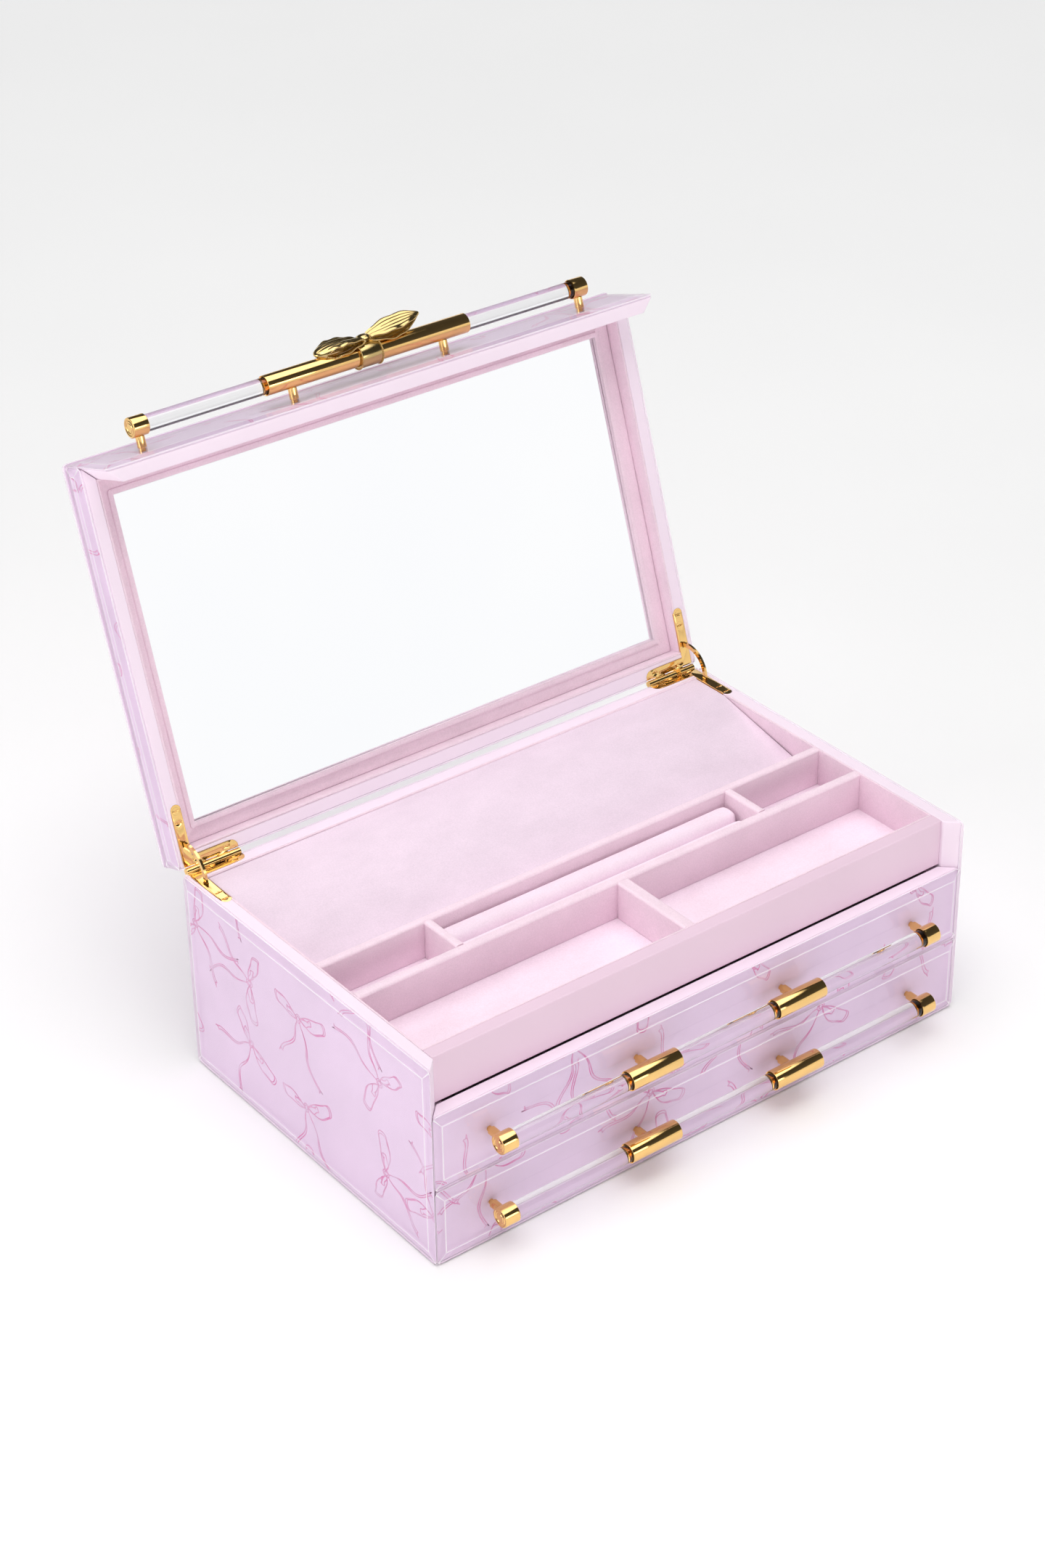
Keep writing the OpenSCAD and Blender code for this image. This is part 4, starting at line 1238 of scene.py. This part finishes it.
    def posts(self, place, stand, node, body, rod_radius):
        """Turned posts from their bolts inside the board to the rod, which stands off the glass."""
        head = -self.BOLT_LONG
        neck = head + self.BOLT_HEAD_DEEP
        profile = [(head, self.BOLT_HEAD - self.BOLT_EDGE), (head + self.BOLT_EDGE, self.BOLT_HEAD),
                   (neck, self.BOLT_HEAD), (neck, self.BOLT), (0.0, self.BOLT),
                   (0.0, self.POST - self.POST_EDGE), (self.POST_EDGE, self.POST),
                   (stand - rod_radius - self.SHORT_OF_ROD, self.POST)]
        meshes = []
        outwards = Matrix.Rotation(-math.pi / 2, 4, "Z")
        for span in self.spans(node):
            for side in (-1, 1):
                post = turned(profile, "post", 40)
                post.transform(Matrix.Translation((side * sum(span) / 2, stand, 0)) @ outwards)
                meshes.append(post)
        mesh = joined(meshes, node)
        mesh.transform(place)
        smooth(mesh, 35)
        piece(mesh, f"{node}_turned", "gold", body, (node,))


class JB_OT_bow(bpy.types.Operator):
    """Cast the ribbon bow on the lid's handle"""

    bl_idname = "jb.bow"
    bl_label = "Bow"

    HEIGHT = 7.4 * MM  # of the ribbon's middle above the rod's axis
    WALL = 0.7 * MM  # thickness of the ribbon
    START = 1.8 * MM  # where a loop leaves the knot
    OPENING = 2.9 * MM  # how far a loop's two layers part
    HALF_KNOT = 3.6 * MM, 3.9 * MM, 2.3 * MM
    KNOT_HEIGHT = 8.3 * MM
    BAND_WALL, BAND_EDGE = 1.25 * MM, 0.3 * MM
    BEAD_LINE = 0.15 * MM  # how far the band lies inside its row of beads

    def execute(self, context):
        gold_settings = context.scene.jb_gold
        rod_low, rod_high = shut_box("lid_rod")
        centre = (rod_low + rod_high) / 2
        self.reach = shut_box("bow_loops")[1].x
        place = OPEN_LID @ Matrix.Translation(centre) @ Matrix.Rotation(math.pi / 2, 4, "X")
        meshes, edges = [], []
        for side in (-1, 1):
            ribbon, rims = self.loop(side, gold_settings.fluting)
            meshes.append(ribbon)
            edges += rims
        meshes.append(self.knot())
        mesh = joined(meshes, "bow_loops")
        mesh.transform(place)
        smooth(mesh, 50)
        piece(mesh, "bow_loops_cast", "cast gold", "lid", ("bow_loops",))
        band_low, band_high = shut_box("bow_band")
        half = (band_high.x - band_low.x) / 2
        radius = (band_high.z - band_low.z) / 2
        band = self.band(half, radius)
        band.transform(OPEN_LID @ Matrix.Translation(centre))
        smooth(band, 40)
        piece(band, "bow_band_cast", "cast gold", "lid", ("bow_band",))
        ring = [[Vector((x, radius * math.cos(t), radius * math.sin(t)))
                 for t in (2 * math.pi * i / 60 for i in range(61))] for x in (-half, half)]
        flat = Matrix.Rotation(math.pi / 2, 4, "X")
        edges += [[flat @ p for p in r] for r in ring]
        beads = self.beads(edges, gold_settings.bead)
        beads.transform(place)
        piece(beads, "bow_beads", "cast gold", "lid")
        return {"FINISHED"}

    def loop(self, side, fluting, along=64, across=22):
        """A ribbon that leaves the knot, turns at the tip and comes back over itself.

        The right loop ends in a point and rises; the left one is blunt and droops."""
        right = side > 0
        twist, rise = (0.75, 3.0 * MM) if right else (0.35, -1.6 * MM)
        longest = self.reach + (3.2 if right else -2.4) * MM
        bm = bmesh.new()
        grid, rims = [], ([], [])
        for i in range(along + 1):
            t = i / along
            turn = 2 * math.pi * t
            far = (1 - math.cos(turn)) / 2
            open_by = self.OPENING * math.sin(turn) * (0.8 + 0.3 * far)
            if right:
                half = (1.0 + 1.2 * (1 - far) + 4.9 * math.sin(math.pi * far ** 0.85) ** 0.8) * MM
            else:
                half = (2.2 + 4.6 * math.sin(math.pi * min(1.0, 0.2 + far * 0.62))) * MM
            row = []
            for k in range(across + 1):
                v = 2 * k / across - 1
                short = 0.08 * (1 - (v + 1) / 2) ** 1.5 if right else 0.16 * v * v
                x = side * (self.START + longest * far * (1 - short * far))
                pleat = math.cos(5 * math.pi * v) * fluting * (1 - far) ** 0.6
                wave = 0.35 * MM * math.sin(6 * math.pi * far) * v * v
                layer = 1 if t < 0.5 else -1
                above = open_by + rise * far ** 2 + (pleat + wave) * layer
                angle = twist * far ** 0.7
                y = v * half * math.cos(angle) - above * math.sin(angle)
                z = self.HEIGHT + v * half * math.sin(angle) + above * math.cos(angle)
                row.append(bm.verts.new((x, y, z + 3.4 * MM * abs(math.sin(angle)))))
            grid.append(row)
            rims[0].append(row[0].co.copy())
            rims[1].append(row[-1].co.copy())
        for row, after in zip(grid, grid[1:]):
            for k in range(across):
                bm.faces.new((row[k], row[k + 1], after[k + 1], after[k]))
        bmesh.ops.recalc_face_normals(bm, faces=bm.faces)
        thing = loose_object(mesh_of(bm, "loop"))
        wall = thing.modifiers.new("Wall", "SOLIDIFY")
        wall.thickness = self.WALL
        wall.offset = 0
        return evaluated(thing, "loop"), list(rims)

    def knot(self, count=28, along=12):
        """Gathered knot with pleats across it."""
        rings = []
        half_x, half_y, half_z = self.HALF_KNOT
        for i in range(along + 1):
            u = -1 + 2 * i / along
            full = math.sqrt(max(0.0, 1 - abs(u) ** 3)) * 0.92 + 0.08
            ring = []
            for k in range(count):
                angle = 2 * math.pi * k / count
                ripple = 1 + 0.07 * math.cos(8 * angle)
                ring.append(Vector((u * half_x, half_y * math.cos(angle) * full * ripple,
                                    self.KNOT_HEIGHT + half_z * math.sin(angle) * full * ripple)))
            rings.append(ring)
        return lofted(rings, "knot")

    def band(self, half, radius):
        inner, edge = radius - self.BAND_WALL, self.BAND_EDGE
        outer = radius - self.BEAD_LINE - edge
        profile = [(-half, inner), (half, inner)]
        profile += rounded_corner(half - edge, outer, edge, 0)
        profile += rounded_corner(-half + edge, outer, edge, 90)
        return turned(profile, "band", 80, closed=True)

    def beads(self, paths, radius):
        """Small beads in a row along each edge."""
        strings = drawn(paths, "edges")
        curve = strings.data
        mesh = grown(strings, self.bead_tree(), {"Radius": radius, "Gap": radius * 2.05,
                                                 "Gold": material("cast gold")})
        bpy.data.curves.remove(curve)
        return mesh

    def bead_tree(self):
        graph = Graph("Beads", {"Edges": "Geometry", "Radius": "Float", "Gap": "Float",
                                "Gold": "Material"})
        given, node = graph.given, graph.node
        even = node("GeometryNodeResampleCurve", {"Curve": given["Edges"], "Length": given["Gap"]},
                    mode="LENGTH")
        bead = node("GeometryNodeMeshIcoSphere", {"Radius": given["Radius"], "Subdivisions": 2})
        strung = node("GeometryNodeInstanceOnPoints", {"Points": even.outputs["Curve"],
                                                       "Instance": bead.outputs["Mesh"]})
        whole = node("GeometryNodeRealizeInstances", {"Geometry": strung.outputs["Instances"]})
        shade = node("GeometryNodeSetShadeSmooth", {"Geometry": whole.outputs["Geometry"]})
        return graph.finished(shade.outputs["Geometry"], given["Gold"])


OPERATORS = (JB_OT_stage, JB_OT_boards, JB_OT_glass, JB_OT_print, JB_OT_suede, JB_OT_ring_roll,
             JB_OT_mirror, JB_OT_hinges, JB_OT_handles, JB_OT_bow)


class JB_PT_panel(bpy.types.Panel):
    """Lists the sizes, colours and steps of the jewellery box"""

    bl_idname = "JB_PT_panel"
    bl_label = "Jewellery Box"
    bl_space_type = "VIEW_3D"
    bl_region_type = "UI"
    bl_category = "Jewellery Box"

    def draw(self, context):
        for name, group in SETTINGS.items():
            box = self.layout.box()
            settings = getattr(context.scene, name)
            for prop in group.__annotations__:
                box.prop(settings, prop)
        for operator in OPERATORS:
            self.layout.operator(operator.bl_idname)


def register():
    for name, group in SETTINGS.items():
        bpy.utils.register_class(group)
        setattr(bpy.types.Scene, name, bpy.props.PointerProperty(type=group))
    for operator in OPERATORS:
        bpy.utils.register_class(operator)
    bpy.utils.register_class(JB_PT_panel)


def unregister():
    bpy.utils.unregister_class(JB_PT_panel)
    for operator in reversed(OPERATORS):
        bpy.utils.unregister_class(operator)
    for name, group in SETTINGS.items():
        delattr(bpy.types.Scene, name)
        bpy.utils.unregister_class(group)


def main():
    register()
    bpy.ops.jb.stage()
    bpy.ops.jb.boards()
    bpy.ops.jb.glass()
    bpy.ops.jb.print()
    bpy.ops.jb.suede()
    bpy.ops.jb.ring_roll()
    bpy.ops.jb.mirror()
    bpy.ops.jb.hinges()
    bpy.ops.jb.handles()
    bpy.ops.jb.bow()


if __name__ == "__main__":
    main()
